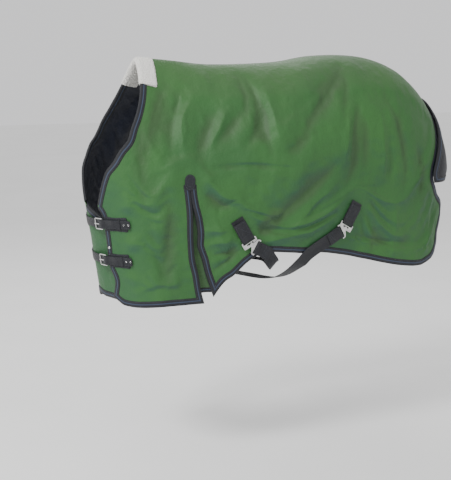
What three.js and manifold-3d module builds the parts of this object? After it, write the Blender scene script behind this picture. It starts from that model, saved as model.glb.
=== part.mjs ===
// A turnout rug for a horse, as it hangs on the animal with every strap done up.
//
// Millimetres. The origin is on the spine seam at the withers, +X runs to the tail,
// +Z is up and -Y is the near (left) side. "p" is the length walked round the plan of
// the rug from the middle of the chest, "z" is height and "h" is the distance outside
// the outer face of the fabric.
import * as THREE from 'three';
import { mergeVertices } from 'three/addons/utils/BufferGeometryUtils.js';
import Module from 'manifold-3d';

const wasm = await Module();
wasm.setup();

const V = (x, y, z) => new THREE.Vector3(x, y, z);
const NEAR = -1;
const OFF = 1;

// ---------------------------------------------------------------- driving sizes
const LENGTH_SCALE = 1;            // stretches the rug along X
const WIDTH_SCALE = 1;             // widens it across Y
const CHEST_X = -50;               // where the chest curve starts
const CHEST_DEPTH = 245;           // how far the chest curve reaches forward
const CHEST_RUN = 390;             // fabric from the middle of the chest to CHEST_X
const RUMP_X = 890;                // where the rump curve starts
const RUMP_DEPTH = 358;            // how far the rump curve reaches back
const RUMP_RUN = 520;              // fabric from RUMP_X to the middle of the tail
const CHEST_RAKE = 0.17;           // forward lean of the chest, mm per mm of height
const CHEST_RAKE_Z = -640;         // height where the lean is nothing

const OUTER_CLOTH = 1.6;           // coated outer fabric
const FILL = 4;                    // thin polyester wadding
const LINING = 1.2;                // smooth lining
const PLY_GAP = 0.3;               // clearance between plies that are sewn together
const EDGE_TAPE = 1.2;             // binding tape
const EDGE_TAPE_GAP = 0.8;         // clearance between the tape and the plies in it
const EDGE_TAPE_WIDTH = 22;        // how far the tape reaches in from the edge
const SPINE_GAP = 0.3;             // half the gap between the two sides on the spine
const CHEST_LAP = 15;              // how far the off panel lies under the near panel

const WEBBING = 50;                // surcingle webbing width
const WEBBING_THICK = 2.4;
const SURCINGLE_SHORT = 90;        // short straps sewn on the near side
const BILLET = 32;                 // chest strap width
const BILLET_THICK = 2;
const CHEST_PATCH_LENGTH = 100;
const CHEST_PATCH_WIDTH = 52;
const METAL = 3;                   // thickness of the buckles and plates
const FIT = 0.5;                   // clearance round metal that moves

const PLIES = OUTER_CLOTH + FILL + LINING + 2 * PLY_GAP;
const TAPE_PROUD = EDGE_TAPE_GAP + EDGE_TAPE;

// ---------------------------------------------------------------- small helpers
const lerp = (a, b, t) => a + (b - a) * t;
const clamp = (v, low, high) => Math.min(Math.max(v, low), high);
const ease = (t) => {
  const c = clamp(t, 0, 1);
  return c * c * (3 - 2 * c);
};

// a smooth curve through a few hand-set points [x, value]
function curveThrough(points) {
  const n = points.length;
  const slope = points.map((point, i) => {
    const a = points[Math.max(i - 1, 0)];
    const b = points[Math.min(i + 1, n - 1)];
    return (b[1] - a[1]) / (b[0] - a[0]);
  });
  return (x) => {
    const c = clamp(x, points[0][0], points[n - 1][0]);
    let i = 0;
    while (i < n - 2 && c > points[i + 1][0]) i += 1;
    const step = points[i + 1][0] - points[i][0];
    const t = (c - points[i][0]) / step;
    const t2 = t * t;
    const t3 = t2 * t;
    return (2 * t3 - 3 * t2 + 1) * points[i][1] + (t3 - 2 * t2 + t) * step * slope[i]
      + (3 * t2 - 2 * t3) * points[i + 1][1] + (t3 - t2) * step * slope[i + 1];
  };
}

// ---------------------------------------------------------------- the form of the rug
// height of the spine, then half the width of the back, along X
const ridge = curveThrough([[-320, 14], [-100, 14], [0, 8], [150, -8], [320, -8], [480, 0],
  [640, 22], [820, 20], [940, -12], [1040, -74], [1120, -152], [1185, -235], [1230, -322],
  [1262, -420]]);
const halfWidth = curveThrough([[-320, 225], [-50, 225], [150, 262], [400, 300], [700, 292],
  [900, 285], [1300, 262]]);
// how far the side falls before it hangs straight, and how round the shoulder of that fall is
const sideDrop = curveThrough([[-320, 470], [0, 450], [400, 420], [800, 320], [1300, 300]]);
const sideRound = curveThrough([[-320, 1.6], [0, 1.6], [400, 2], [800, 2.2], [1300, 2.2]]);
const roofRound = curveThrough([[-320, 1.25], [0, 1.35], [400, 2], [800, 2.2], [1300, 2.2]]);
// how far the hanging side draws in towards the belly, over TUCK_HEIGHT
const bellyTuck = curveThrough([[-320, -0.02], [100, 0], [250, 0.08], [400, 0.16], [600, 0.13],
  [800, 0.03], [1300, -0.02]]);
const TUCK_HEIGHT = 420;
const QUARTER = Math.PI / 2;

function plan(p) {
  if (p < CHEST_RUN) {
    const turn = clamp(p / CHEST_RUN, -1, 1) * QUARTER;
    return { x: CHEST_X - CHEST_DEPTH * Math.cos(turn), cap: Math.sin(turn) };
  }
  const rumpStart = CHEST_RUN + RUMP_X - CHEST_X;
  if (p < rumpStart) return { x: CHEST_X + p - CHEST_RUN, cap: 1 };
  const turn = clamp((p - rumpStart) / RUMP_RUN, 0, 1) * QUARTER;
  return { x: RUMP_X + RUMP_DEPTH * Math.sin(turn), cap: Math.cos(turn) };
}

// a point of the outer face, at arc length p and height z, on one side
function skin(side, p, z) {
  const { x, cap } = plan(p);
  const top = ridge(x);
  const height = Math.min(z, top);
  const depth = top - height;
  const drop = sideDrop(x);
  const t = clamp(depth / drop, 0, 1);
  const low = Math.max(depth - drop, 0) / TUCK_HEIGHT;
  const round = (1 - (1 - t) ** sideRound(x)) ** (1 / roofRound(x));
  const half = halfWidth(x) * cap * round * (1 - bellyTuck(x) * low * low);
  const front = clamp((CHEST_X - x) / CHEST_DEPTH, 0, 1);
  const lean = -front * CHEST_RAKE * (height - CHEST_RAKE_Z);
  return V((x + lean) * LENGTH_SCALE, side * half * WIDTH_SCALE, height);
}

// outward direction of the skin; the height step is taken on the root of the depth,
// so it stays sound where the two sides meet on the ridge
function outward(side, p, z) {
  const top = ridge(plan(p).x);
  const root = Math.max(Math.sqrt(Math.max(top - z, 0)), 2.5);
  const step = 4;
  const at = (dp, du) => skin(side, p + dp, ridge(plan(p + dp).x) - (root + du) ** 2);
  const along = at(step, 0).sub(at(-step, 0));
  const down = at(0, 0.6).sub(at(0, -0.6));
  const normal = along.cross(down).normalize();
  return side === NEAR ? normal.negate() : normal;
}

// the off panel slips under the near panel across the chest
function lapDrop(side, p) {
  return side === OFF ? CHEST_LAP * ease((60 - p) / 120) : 0;
}

function onSkin(side, p, z, h = 0) {
  const lift = h - lapDrop(side, p);
  return skin(side, p, z).addScaledVector(outward(side, p, z), lift);
}

// ---------------------------------------------------------------- outline of one side
const COLLAR_P = 340;               // where the collar crosses the withers
const COLLAR_FOOT = -515;          // height of the foot of the collar at the closure
const DOCK_P = 1580;               // where the spine seam ends over the tail
const collarEdge = curveThrough([[COLLAR_FOOT, 68], [-391, 135], [-352, 175], [-310, 208], [-275, 241],
  [-230, 263], [-181, 288], [-133, 307], [-74, 324], [-20, 334], [14, COLLAR_P]]);
const nearClosure = curveThrough([[-852, 74], [-820, 90], [-785, 101], [-731, 82], [-663, 87],
  [-592, 91], [-545, 88], [-515, 68]]);
const OFF_CLOSURE = -150;          // the off panel ends this far past the chest middle
const offClosure = curveThrough([[-868, OFF_CLOSURE], [-700, OFF_CLOSURE], [-606, -125], [-515, 45]]);
const slitFront = curveThrough([[-871, 472], [-821, 460], [-758, 450], [-706, 438], [-617, 433],
  [-533, 432], [-464, 425], [-430, 421], [0, 480]]);
const slitRear = curveThrough([[-846, 510], [-759, 481], [-706, 468], [-661, 453], [-620, 454],
  [-568, 449], [-506, 434], [-430, 427], [0, 487]]);
const frontHem = curveThrough([[-150, -868], [0, -862], [74, -852], [131, -876], [230, -878],
  [313, -874], [472, -871]]);
const rearHem = curveThrough([[510, -846], [549, -796], [586, -773], [643, -725], [706, -697],
  [797, -701], [868, -710], [961, -715], [1067, -734], [1152, -754], [1284, -786], [1380, -802],
  [1430, -804]]);
const rearEdge = curveThrough([[-804, 1430], [-786, 1492], [-743, 1538], [-680, 1556],
  [-611, 1592], [-564, 1579], [-540, 1550], [-503, 1516], [-448, 1492], [-382, 1514], [-302, 1548],
  [-200, 1575], [-150, DOCK_P]]);

const ROWS = 15;
const FRONT_COLUMNS = { [NEAR]: 8, [OFF]: 10 };
const REAR_COLUMNS = 16;
const SLIT_ROW = 8;                // first row below the top of the shoulder slit
const CORNER_ROW = { [NEAR]: 9, [OFF]: 10 };  // where the collar meets the closure edge
const ROW_SPREAD = 0.85;           // 1 crowds the rows at the hem as they are at the spine

// one of count + 1 places along a line: the first and last steps are one tape wide
function bandedPlace(from, to, index, count, firstBand, lastBand) {
  if (index === 0) return from;
  if (index === count) return to;
  const [start, end] = [from + firstBand, to - lastBand];
  const [low, high] = [firstBand ? 1 : 0, lastBand ? count - 1 : count];
  return lerp(start, end, (index - low) / (high - low));
}

const rowTurn = (share) => 1 - Math.cos(Math.PI * ROW_SPREAD * share);

// height of a row between the spine and the hem; the last row is one tape deep
function rowHeight(row, top, hem) {
  if (row === ROWS) return hem;
  return lerp(top, hem + EDGE_TAPE_WIDTH, rowTurn(row / (ROWS - 1)) / rowTurn(1));
}

// the rug seen as a grid: column 0 is the collar and the closure, the last column is
// the tail edge, row 0 is the spine and the last row the hem
function patternPoint(side, column, row) {
  const front = FRONT_COLUMNS[side];
  const band = EDGE_TAPE_WIDTH;
  if (column <= front) {
    const closure = side === NEAR ? nearClosure : offClosure;
    const closureP = side === NEAR ? 74 : OFF_CLOSURE;
    const edgeZ = rowHeight(row, ridge(plan(COLLAR_P).x), frontHem(closureP));
    const edgeP = edgeZ > COLLAR_FOOT ? collarEdge(edgeZ) : closure(edgeZ);
    const slitP = slitFront(rowHeight(row, 0, -871));
    const p = bandedPlace(edgeP, slitP, column, front, band, band);
    const s = (p - edgeP) / (slitP - edgeP);
    const top = ridge(plan(lerp(COLLAR_P, slitFront(0), s)).x);
    return { p, z: rowHeight(row, top, frontHem(lerp(closureP, slitFront(-871), s))) };
  }
  const slitP = slitRear(rowHeight(row, 0, -846));
  const tailP = rearEdge(rowHeight(row, -150, -804));
  const p = bandedPlace(slitP, tailP, column - front - 1, REAR_COLUMNS, band, band);
  const s = (p - slitP) / (tailP - slitP);
  const top = ridge(plan(lerp(slitRear(0), DOCK_P, s)).x);
  return { p, z: rowHeight(row, top, rearHem(lerp(slitRear(-846), rearEdge(-804), s))) };
}

// ---------------------------------------------------------------- solids
const rug = new THREE.Group();

const FINISH = {
  outer: { color: 0x38702f, roughness: 0.75, metalness: 0 },
  lining: { color: 0x1c2438, roughness: 0.6, metalness: 0 },
  fill: { color: 0xe8e6de, roughness: 0.95, metalness: 0 },
  tape: { color: 0x10141f, roughness: 0.7, metalness: 0 },
  webbing: { color: 0x0d0f14, roughness: 0.8, metalness: 0 },
  fleece: { color: 0xf0eee8, roughness: 1, metalness: 0 },
  metal: { color: 0xc9ccd0, roughness: 0.28, metalness: 1 },
};

function add(name, geometry, finish, group = rug) {
  const mesh = new THREE.Mesh(geometry, new THREE.MeshStandardMaterial(FINISH[finish]));
  mesh.name = name;
  group.add(mesh);
  return mesh;
}

// turns a closed shell right side out, with points that coincide made one
function closedShell(points, faces) {
  const first = new Map();
  const same = points.map((point, i) => {
    const key = point.toArray().map((v) => Math.round(v * 500)).join(' ');
    if (!first.has(key)) first.set(key, i);
    return first.get(key);
  });
  const sound = faces.map((face) => face.map((i) => same[i]))
    .filter(([a, b, c]) => a !== b && b !== c && c !== a);
  let volume = 0;
  for (const [a, b, c] of sound) volume += points[a].dot(points[b].clone().cross(points[c]));
  const index = sound.flatMap(([a, b, c]) => (volume < 0 ? [a, c, b] : [a, b, c]));
  const geometry = new THREE.BufferGeometry();
  geometry.setAttribute('position', new THREE.Float32BufferAttribute(
    points.flatMap((point) => [point.x, point.y, point.z]), 3));
  geometry.setIndex(index);
  return geometry;
}

// a slab over the cells of a grid; top(i, j) and bottom(i, j) give its two faces. Each
// cell is split from its first corner to its third, or the other way where it is crossed
function slab(columns, rows, top, bottom, keep = () => true, crossed = () => false) {
  const points = [];
  const number = new Map();
  const at = (i, j, face) => {
    const key = `${i},${j},${face}`;
    if (!number.has(key)) {
      number.set(key, points.length);
      points.push(face ? bottom(i, j) : top(i, j));
    }
    return number.get(key);
  };
  const inside = (i, j) => i >= 0 && j >= 0 && i < columns && j < rows && keep(i, j);
  const faces = [];
  const wall = (a, b) => {
    const [a0, b0, a1, b1] = [at(...a, 0), at(...b, 0), at(...a, 1), at(...b, 1)];
    faces.push([a0, b1, b0], [a0, a1, b1]);
  };
  for (let i = 0; i < columns; i += 1) {
    for (let j = 0; j < rows; j += 1) {
      if (!inside(i, j)) continue;
      const corner = [[i, j], [i + 1, j], [i + 1, j + 1], [i, j + 1]];
      const upper = corner.map(([a, b]) => at(a, b, 0));
      const lower = corner.map(([a, b]) => at(a, b, 1));
      const [a, b, c, d] = crossed(i, j) ? [1, 2, 3, 0] : [0, 1, 2, 3];
      faces.push([upper[a], upper[b], upper[c]], [upper[a], upper[c], upper[d]]);
      faces.push([lower[a], lower[c], lower[b]], [lower[a], lower[d], lower[c]]);
      if (!inside(i, j - 1)) wall(corner[0], corner[1]);
      if (!inside(i + 1, j)) wall(corner[1], corner[2]);
      if (!inside(i, j + 1)) wall(corner[2], corner[3]);
      if (!inside(i - 1, j)) wall(corner[3], corner[0]);
    }
  }
  return closedShell(points, faces);
}

// joins a row of equal cross-sections; outline is the flat profile that caps the ends.
// Points that carry a rank, their column plus their row, split each quad as a slab does
function sweep(sections, outline) {
  const n = outline.length;
  const points = sections.flat();
  const faces = [];
  for (let k = 0; k < sections.length - 1; k += 1) {
    for (let i = 0; i < n; i += 1) {
      const next = (i + 1) % n;
      const [a, b, c, d] = [k * n + i, k * n + next, (k + 1) * n + next, (k + 1) * n + i];
      const span = (i0, i1) => Math.abs((points[i0].rank ?? 0) - (points[i1].rank ?? 0));
      if (span(a, c) >= span(b, d)) faces.push([a, b, c], [a, c, d]);
      else faces.push([a, b, d], [b, c, d]);
    }
  }
  const cap = THREE.ShapeUtils.triangulateShape(outline.map(([x, y]) => new THREE.Vector2(x, y)), []);
  const last = (sections.length - 1) * n;
  const turned = THREE.ShapeUtils.area(outline.map(([x, y]) => new THREE.Vector2(x, y))) < 0;
  for (const [a, b, c] of cap) {
    const [p, q, r] = turned ? [a, b, c] : [a, c, b];
    faces.push([p, q, r], [last + p, last + r, last + q]);
  }
  return closedShell(points, faces);
}

// cross-sections of a flat strap; its face lies on the route and its body on the side
// that each normal points to
function ribbonSections(route, width, thickness) {
  return route.map(({ point, normal }, k) => {
    const before = route[Math.max(k - 1, 0)].point;
    const after = route[Math.min(k + 1, route.length - 1)].point;
    const along = after.clone().sub(before).normalize();
    const across = along.clone().cross(normal).normalize();
    const up = across.clone().cross(along).normalize();
    return [[-1, 0], [1, 0], [1, thickness], [-1, thickness]].map(([way, thick]) => (
      point.clone().addScaledVector(across, (way * width) / 2).addScaledVector(up, thick)));
  });
}

function prism(outline, holes, depth) {
  const shape = new THREE.Shape(outline.map(([x, y]) => new THREE.Vector2(x, y)));
  shape.holes = holes.map((hole) => new THREE.Path(hole.map(([x, y]) => new THREE.Vector2(x, y))));
  return new THREE.ExtrudeGeometry(shape, { depth, bevelEnabled: false });
}

const rectangle = (x0, y0, x1, y1) => [[x0, y0], [x1, y0], [x1, y1], [x0, y1]];

// a rectangle with rounded corners
function roundedRectangle(x0, y0, x1, y1, radius, steps = 3) {
  const corners = [[x1 - radius, y1 - radius, 0], [x0 + radius, y1 - radius, 1],
    [x0 + radius, y0 + radius, 2], [x1 - radius, y0 + radius, 3]];
  return corners.flatMap(([x, y, quarter]) => Array.from({ length: steps + 1 }, (_, k) => {
    const angle = (quarter + k / steps) * QUARTER;
    return [x + radius * Math.cos(angle), y + radius * Math.sin(angle)];
  }));
}

function asSolid(geometry) {
  const bare = new THREE.BufferGeometry();
  bare.setAttribute('position', geometry.getAttribute('position').clone());
  if (geometry.index) bare.setIndex(geometry.index.clone());
  const merged = mergeVertices(bare, 1e-4);
  const mesh = new wasm.Mesh({
    numProp: 3,
    vertProperties: Float32Array.from(merged.getAttribute('position').array),
    triVerts: Uint32Array.from(merged.index.array),
  });
  return new wasm.Manifold(mesh);
}

function fromSolid(solid) {
  const mesh = solid.getMesh();
  const geometry = new THREE.BufferGeometry();
  geometry.setAttribute('position', new THREE.BufferAttribute(Float32Array.from(mesh.vertProperties), 3));
  geometry.setIndex(Array.from(mesh.triVerts));
  return geometry;
}

const join = (...shapes) => fromSolid(shapes.map(asSolid).reduce((a, b) => a.add(b)));
const cut = (shape, ...tools) => fromSolid(
  tools.map(asSolid).reduce((a, b) => a.subtract(b), asSolid(shape)));

function block(x0, y0, z0, x1, y1, z1) {
  const box = new THREE.BoxGeometry(x1 - x0, y1 - y0, z1 - z0);
  return box.translate((x0 + x1) / 2, (y0 + y1) / 2, (z0 + z1) / 2);
}

// reads a grid of { point, normal } at any place between its nodes, h outside its face
function betweenNodes(nodes) {
  const [columns, rows] = [nodes.length - 1, nodes[0].length - 1];
  const node = (a, b, h) => nodes[a][b].point.clone().addScaledVector(nodes[a][b].normal, h);
  return (i, j, h = 0) => {
    const column = clamp(Math.floor(i), 0, columns - 1);
    const row = clamp(Math.floor(j), 0, rows - 1);
    const upper = node(column, row, h).lerp(node(column + 1, row, h), i - column);
    const lower = node(column, row + 1, h).lerp(node(column + 1, row + 1, h), i - column);
    return upper.lerp(lower, j - row);
  };
}

// ---------------------------------------------------------------- the two sides
function panelGrid(side) {
  const columns = FRONT_COLUMNS[side] + 1 + REAR_COLUMNS;
  const nodes = [];
  for (let i = 0; i <= columns; i += 1) {
    nodes.push([]);
    for (let j = 0; j <= ROWS; j += 1) {
      const { p, z } = patternPoint(side, i, j);
      const normal = outward(side, p, z);
      const point = onSkin(side, p, z);
      if (j === 0) {
        normal.setY(0).normalize();
        point.setY(side * SPINE_GAP);
      }
      nodes[i].push({ point, normal });
    }
  }
  return { columns, at: betweenNodes(nodes), slit: FRONT_COLUMNS[side] };
}

const grids = { [NEAR]: panelGrid(NEAR), [OFF]: panelGrid(OFF) };
const SIDES = [[NEAR, 'near'], [OFF, 'off']];

function panelPly(side, name, finish, from, to) {
  const { columns, at, slit } = grids[side];
  const keep = (i, j) => !(i === slit && j >= SLIT_ROW);
  const crossed = (i, j) => j === ROWS - 1 && (i === 0 || i === slit + 1);
  const face = (h) => (i, j) => at(i, j, h);
  add(name, slab(columns, ROWS, face(-from), face(-to), keep, crossed), finish);
}

for (const [side, word] of SIDES) {
  const fillFrom = OUTER_CLOTH + PLY_GAP;
  const liningFrom = fillFrom + FILL + PLY_GAP;
  panelPly(side, `${word}_outer_panel`, 'outer', 0, OUTER_CLOTH);
  panelPly(side, `${word}_fill_panel`, 'fill', fillFrom, fillFrom + FILL);
  panelPly(side, `${word}_lining_panel`, 'lining', liningFrom, liningFrom + LINING);
}

// ---------------------------------------------------------------- edge binding
// a tape folded over an edge: its outline, as [distance in from the edge, height]
function foldedTape(width, thickness, gap, plies, middles = []) {
  const [low, high] = [-plies - gap, gap];
  const steps = middles.map((share) => share * width);
  const back = [...steps].reverse();
  return [[width, high + thickness], ...back.map((d) => [d, high + thickness]),
    [-gap - thickness, high + thickness], [-gap - thickness, low - thickness],
    ...steps.map((d) => [d, low - thickness]), [width, low - thickness],
    [width, low], ...back.map((d) => [d, low]), [-gap, low],
    [-gap, high], ...steps.map((d) => [d, high]), [width, high]];
}

// how many columns (or rows) to step from a grid place to cover a distance
function gridSteps(at, i, j, di, dj, distance) {
  if (distance <= EDGE_TAPE_WIDTH) return distance / EDGE_TAPE_WIDTH;
  let walked = 0;
  let here = at(i, j);
  for (let step = 0.1; step < 8; step += 0.1) {
    const next = at(i + di * step, j + dj * step);
    const pace = next.distanceTo(here);
    if (walked + pace >= distance) return step - 0.1 + (0.1 * (distance - walked)) / pace;
    walked += pace;
    here = next;
  }
  return 8;
}

// one cross-section over the edge at grid place [i, j]; [di, dj] is the way in
function edgeSection({ at }, [i, j], [di, dj], outline) {
  const ways = [[di, 0], [0, dj]].filter(([a, b]) => a || b);
  return outline.map(([distance, h]) => {
    const steps = Math.max(distance, 0) && gridSteps(at, i, j, di, dj, distance);
    const point = at(i + di * steps, j + dj * steps, h);
    for (const [a, b] of distance < 0 ? ways : []) {
      point.addScaledVector(at(i + a, j + b).sub(at(i, j)).normalize(), distance);
    }
    point.rank = i + di * steps + j + dj * steps;
    return point;
  });
}

function range(from, to) {
  return Array.from({ length: Math.abs(to - from) + 1 }, (_, k) => from + Math.sign(to - from) * k);
}

const tapeOutline = foldedTape(EDGE_TAPE_WIDTH, EDGE_TAPE, EDGE_TAPE_GAP, PLIES);
const SLIT_TAPE_TOP = SLIT_ROW + 0.15;

// from the collar, down the closure, along the front hem and up the front of the slit
function frontBinding(side) {
  const grid = grids[side];
  const { slit } = grid;
  const corner = CORNER_ROW[side];
  return [
    edgeSection(grid, [0, corner + 0.12], [1, 0], tapeOutline),
    ...range(corner + 1, ROWS - 1).map((j) => edgeSection(grid, [0, j], [1, 0], tapeOutline)),
    edgeSection(grid, [0, ROWS], [1, -1], tapeOutline),
    ...range(1, slit - 1).map((i) => edgeSection(grid, [i, ROWS], [0, -1], tapeOutline)),
    edgeSection(grid, [slit, ROWS], [-1, -1], tapeOutline),
    ...range(ROWS - 1, SLIT_ROW + 1).map((j) => edgeSection(grid, [slit, j], [-1, 0], tapeOutline)),
    edgeSection(grid, [slit, SLIT_TAPE_TOP], [-1, 0], tapeOutline),
  ];
}

// from the slit, down its back edge, along the belly and up the tail edge
function rearBinding(side) {
  const grid = grids[side];
  const { slit, columns } = grid;
  return [
    edgeSection(grid, [slit + 1, SLIT_TAPE_TOP], [1, 0], tapeOutline),
    ...range(SLIT_ROW + 1, ROWS - 1).map((j) => edgeSection(grid, [slit + 1, j], [1, 0], tapeOutline)),
    edgeSection(grid, [slit + 1, ROWS], [1, -1], tapeOutline),
    ...range(slit + 2, columns - 1).map((i) => edgeSection(grid, [i, ROWS], [0, -1], tapeOutline)),
    edgeSection(grid, [columns, ROWS], [-1, -1], tapeOutline),
    ...range(ROWS - 1, 1).map((j) => edgeSection(grid, [columns, j], [-1, 0], tapeOutline)),
  ];
}

// a fold over the collar that runs from one side to the other across the withers
function overCollar(rowsNear, rowsOff, outline) {
  const across = edgeSection(grids[NEAR], [0, 0], [1, 0], outline).map((point) => point.setY(0));
  return [
    ...rowsNear.map((j) => edgeSection(grids[NEAR], [0, j], [1, 0], outline)),
    across,
    ...rowsOff.map((j) => edgeSection(grids[OFF], [0, j], [1, 0], outline)),
  ];
}

for (const [side, word] of SIDES) {
  add(`${word}_front_binding`, sweep(frontBinding(side), tapeOutline), 'tape');
  add(`${word}_rear_binding`, sweep(rearBinding(side), tapeOutline), 'tape');
}
const collarSections = overCollar(range(CORNER_ROW[NEAR], 1), range(1, CORNER_ROW[OFF]), tapeOutline);
add('collar_binding', sweep(collarSections, tapeOutline), 'tape');

// ---------------------------------------------------------------- withers and spine
const FLEECE_WIDTH = 62;
const FLEECE = 5;
const FLEECE_GAP = TAPE_PROUD + 0.9;
const FLEECE_ROW = 3.5;            // how far down each side of the neck it reaches
const fleeceOutline = foldedTape(FLEECE_WIDTH, FLEECE, FLEECE_GAP, PLIES, [0, 0.36, 0.7]);
const fleeceSections = overCollar([FLEECE_ROW, 3, 2, 1], [1, 2, 3, FLEECE_ROW], fleeceOutline);
add('wither_fleece', sweep(fleeceSections, fleeceOutline), 'fleece');

const SEAM_TAPE_HALF = 20;
const SEAM_TAPE = 1.2;
const SEAM_TAPE_GAP = 2;

function seamTape() {
  const { at, columns, slit } = grids[NEAR];
  const outline = [[-1, 0], [0, 0], [1, 0], [1, SEAM_TAPE], [0, SEAM_TAPE], [-1, SEAM_TAPE]];
  const sections = range(slit + 1, columns - 1).map((i) => {
    const down = SEAM_TAPE_HALF / at(i, 0).distanceTo(at(i, 1));
    return outline.map(([way, depth]) => {
      const point = at(i, Math.abs(way) * down, -PLIES - SEAM_TAPE_GAP - depth);
      return point.setY(way === 0 ? 0 : way * Math.abs(point.y));
    });
  });
  return sweep(sections, outline);
}
add('spine_seam_tape', seamTape(), 'tape');

// ---------------------------------------------------------------- shoulder gussets
const GUSSET = 1.2;
const GUSSET_H = -PLIES - TAPE_PROUD - 3;      // outer face of the gusset
const GUSSET_MARGIN = 16;                      // how far it runs under each edge of the slit
const GUSSET_TOP = -452;
const GUSSET_HEM = -832;
const GUSSET_ROWS = 8;
const TAB_WIDTH = 38;
const TAB_HEIGHT = 58;
const TAB_TOP = -398;

// a frame standing on the skin: local X along the body, Y up, Z outward
function stand(side, p, z, h, spin = 0) {
  const normal = outward(side, p, z);
  const up = V(0, 0, 1).addScaledVector(normal, -normal.z).normalize();
  const along = up.clone().cross(normal);
  const group = new THREE.Group();
  group.quaternion.setFromRotationMatrix(new THREE.Matrix4().makeBasis(along, up, normal));
  group.rotateZ(spin);
  group.position.copy(onSkin(side, p, z, h));
  rug.add(group);
  group.updateMatrixWorld(true);
  return group;
}

for (const [side, word] of SIDES) {
  const place = (u, v) => {
    const z = lerp(GUSSET_TOP, GUSSET_HEM, v);
    return { z, p: lerp(slitFront(z) - GUSSET_MARGIN, slitRear(z) + GUSSET_MARGIN, u) };
  };
  const face = (h) => (i, j) => {
    const { p, z } = place(i / 2, j / GUSSET_ROWS);
    return onSkin(side, p, z, h);
  };
  add(`${word}_shoulder_gusset`, slab(2, GUSSET_ROWS, face(GUSSET_H), face(GUSSET_H - GUSSET)), 'outer');

  const outline = foldedTape(16, EDGE_TAPE, EDGE_TAPE_GAP, GUSSET);
  const [from, to] = [slitFront(GUSSET_HEM) + 4, slitRear(GUSSET_HEM) - 4];
  const sections = [0, 0.5, 1].map((t) => outline.map(([distance, h]) => (
    onSkin(side, lerp(from, to, t), GUSSET_HEM + distance, GUSSET_H + h))));
  add(`${word}_gusset_binding`, sweep(sections, outline), 'tape');

  const tab = [[-TAB_WIDTH / 2, -TAB_HEIGHT], [TAB_WIDTH / 2, -TAB_HEIGHT],
    ...range(0, 6).map((k) => [(TAB_WIDTH / 2) * Math.cos((k * Math.PI) / 6),
      -TAB_WIDTH / 2 + (TAB_WIDTH / 2) * Math.sin((k * Math.PI) / 6)])];
  const seat = stand(side, slitFront(TAB_TOP - TAB_HEIGHT), TAB_TOP, TAPE_PROUD + 0.8);
  add(`${word}_gusset_tab`, prism(tab, [], 1.6), 'tape', seat);
}

// ---------------------------------------------------------------- straps that fold round a bar
// a path [s, h, outward angle] from a sewn end, round a bar and back: the ply nearer the
// rug comes first; inner is the clear radius round the bar, rise the height of the return
function roundTheBar(length, back, inner, thickness, rise) {
  const path = range(0, 5).map((k) => [lerp(length, 0, k / 5), -inner, -QUARTER]);
  for (let k = 1; k < 6; k += 1) {
    const angle = -QUARTER - (k * Math.PI) / 6;
    path.push([inner * Math.cos(angle), inner * Math.sin(angle), angle]);
  }
  path.push([0, inner, QUARTER], [3, inner - 0.5, QUARTER - 0.35]);
  const settle = inner + thickness + 8;
  for (const k of range(0, 3)) path.push([lerp(settle, back, k / 3), -inner + rise, QUARTER]);
  return path;
}

// sections of a strap of given width whose inner face follows the path
function strapSections(path, width, thickness, place) {
  return path.map(([s, h, angle]) => {
    const [s1, h1] = [s + thickness * Math.cos(angle), h + thickness * Math.sin(angle)];
    return [place(s, -width / 2, h), place(s, width / 2, h), place(s1, width / 2, h1),
      place(s1, -width / 2, h1)];
  });
}

const strapOutline = [[0, 0], [1, 0], [1, 1], [0, 1]];

// ---------------------------------------------------------------- chest closures
const BAR_INNER = 3.4;               // clear radius round a buckle bar
const CHAPE_THICK = 1.4;
const CHAPE_LENGTH = 45;
const PATCH_H = TAPE_PROUD + 0.4;
const PATCH_THICK = 1.6;
const BAR_H = PATCH_H + PATCH_THICK + PLY_GAP + CHAPE_THICK + BAR_INNER;
const BUCKLE_REACH = 36;           // from the bar to the far side of the buckle
const BUCKLE_SIDE = 4;
const BUCKLE_INNER = BILLET + 3;
const TONGUE = 4;
const BILLET_TIP = 118;            // end of the strap, past the bar
const BILLET_START = -245;
const BILLET_ON_PATCH = PATCH_H + PATCH_THICK + 1.5;
const KEEPER_PLACE = 72;
const KEEPER_LENGTH = 12;
const KEEPER_WALL = 0.6;
const HOLE_PITCH = 22;

// height of the inner face of the chest strap at each distance from the bar
const billetHeight = curveThrough([[BILLET_START, 2.8], [-100, 2.8], [-60, 3.4],
  [-BUCKLE_REACH, BAR_H - METAL / 2 - BILLET_THICK - 0.8], [-30, BAR_H - 4],
  [-3, BAR_H + BAR_INNER + CHAPE_THICK + 0.5], [4, BAR_H + BAR_INNER + CHAPE_THICK + 0.5],
  [17, BAR_H - 0.4], [CHAPE_LENGTH, BAR_H - 0.8], [60, BILLET_ON_PATCH], [BILLET_TIP, BILLET_ON_PATCH]]);

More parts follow.
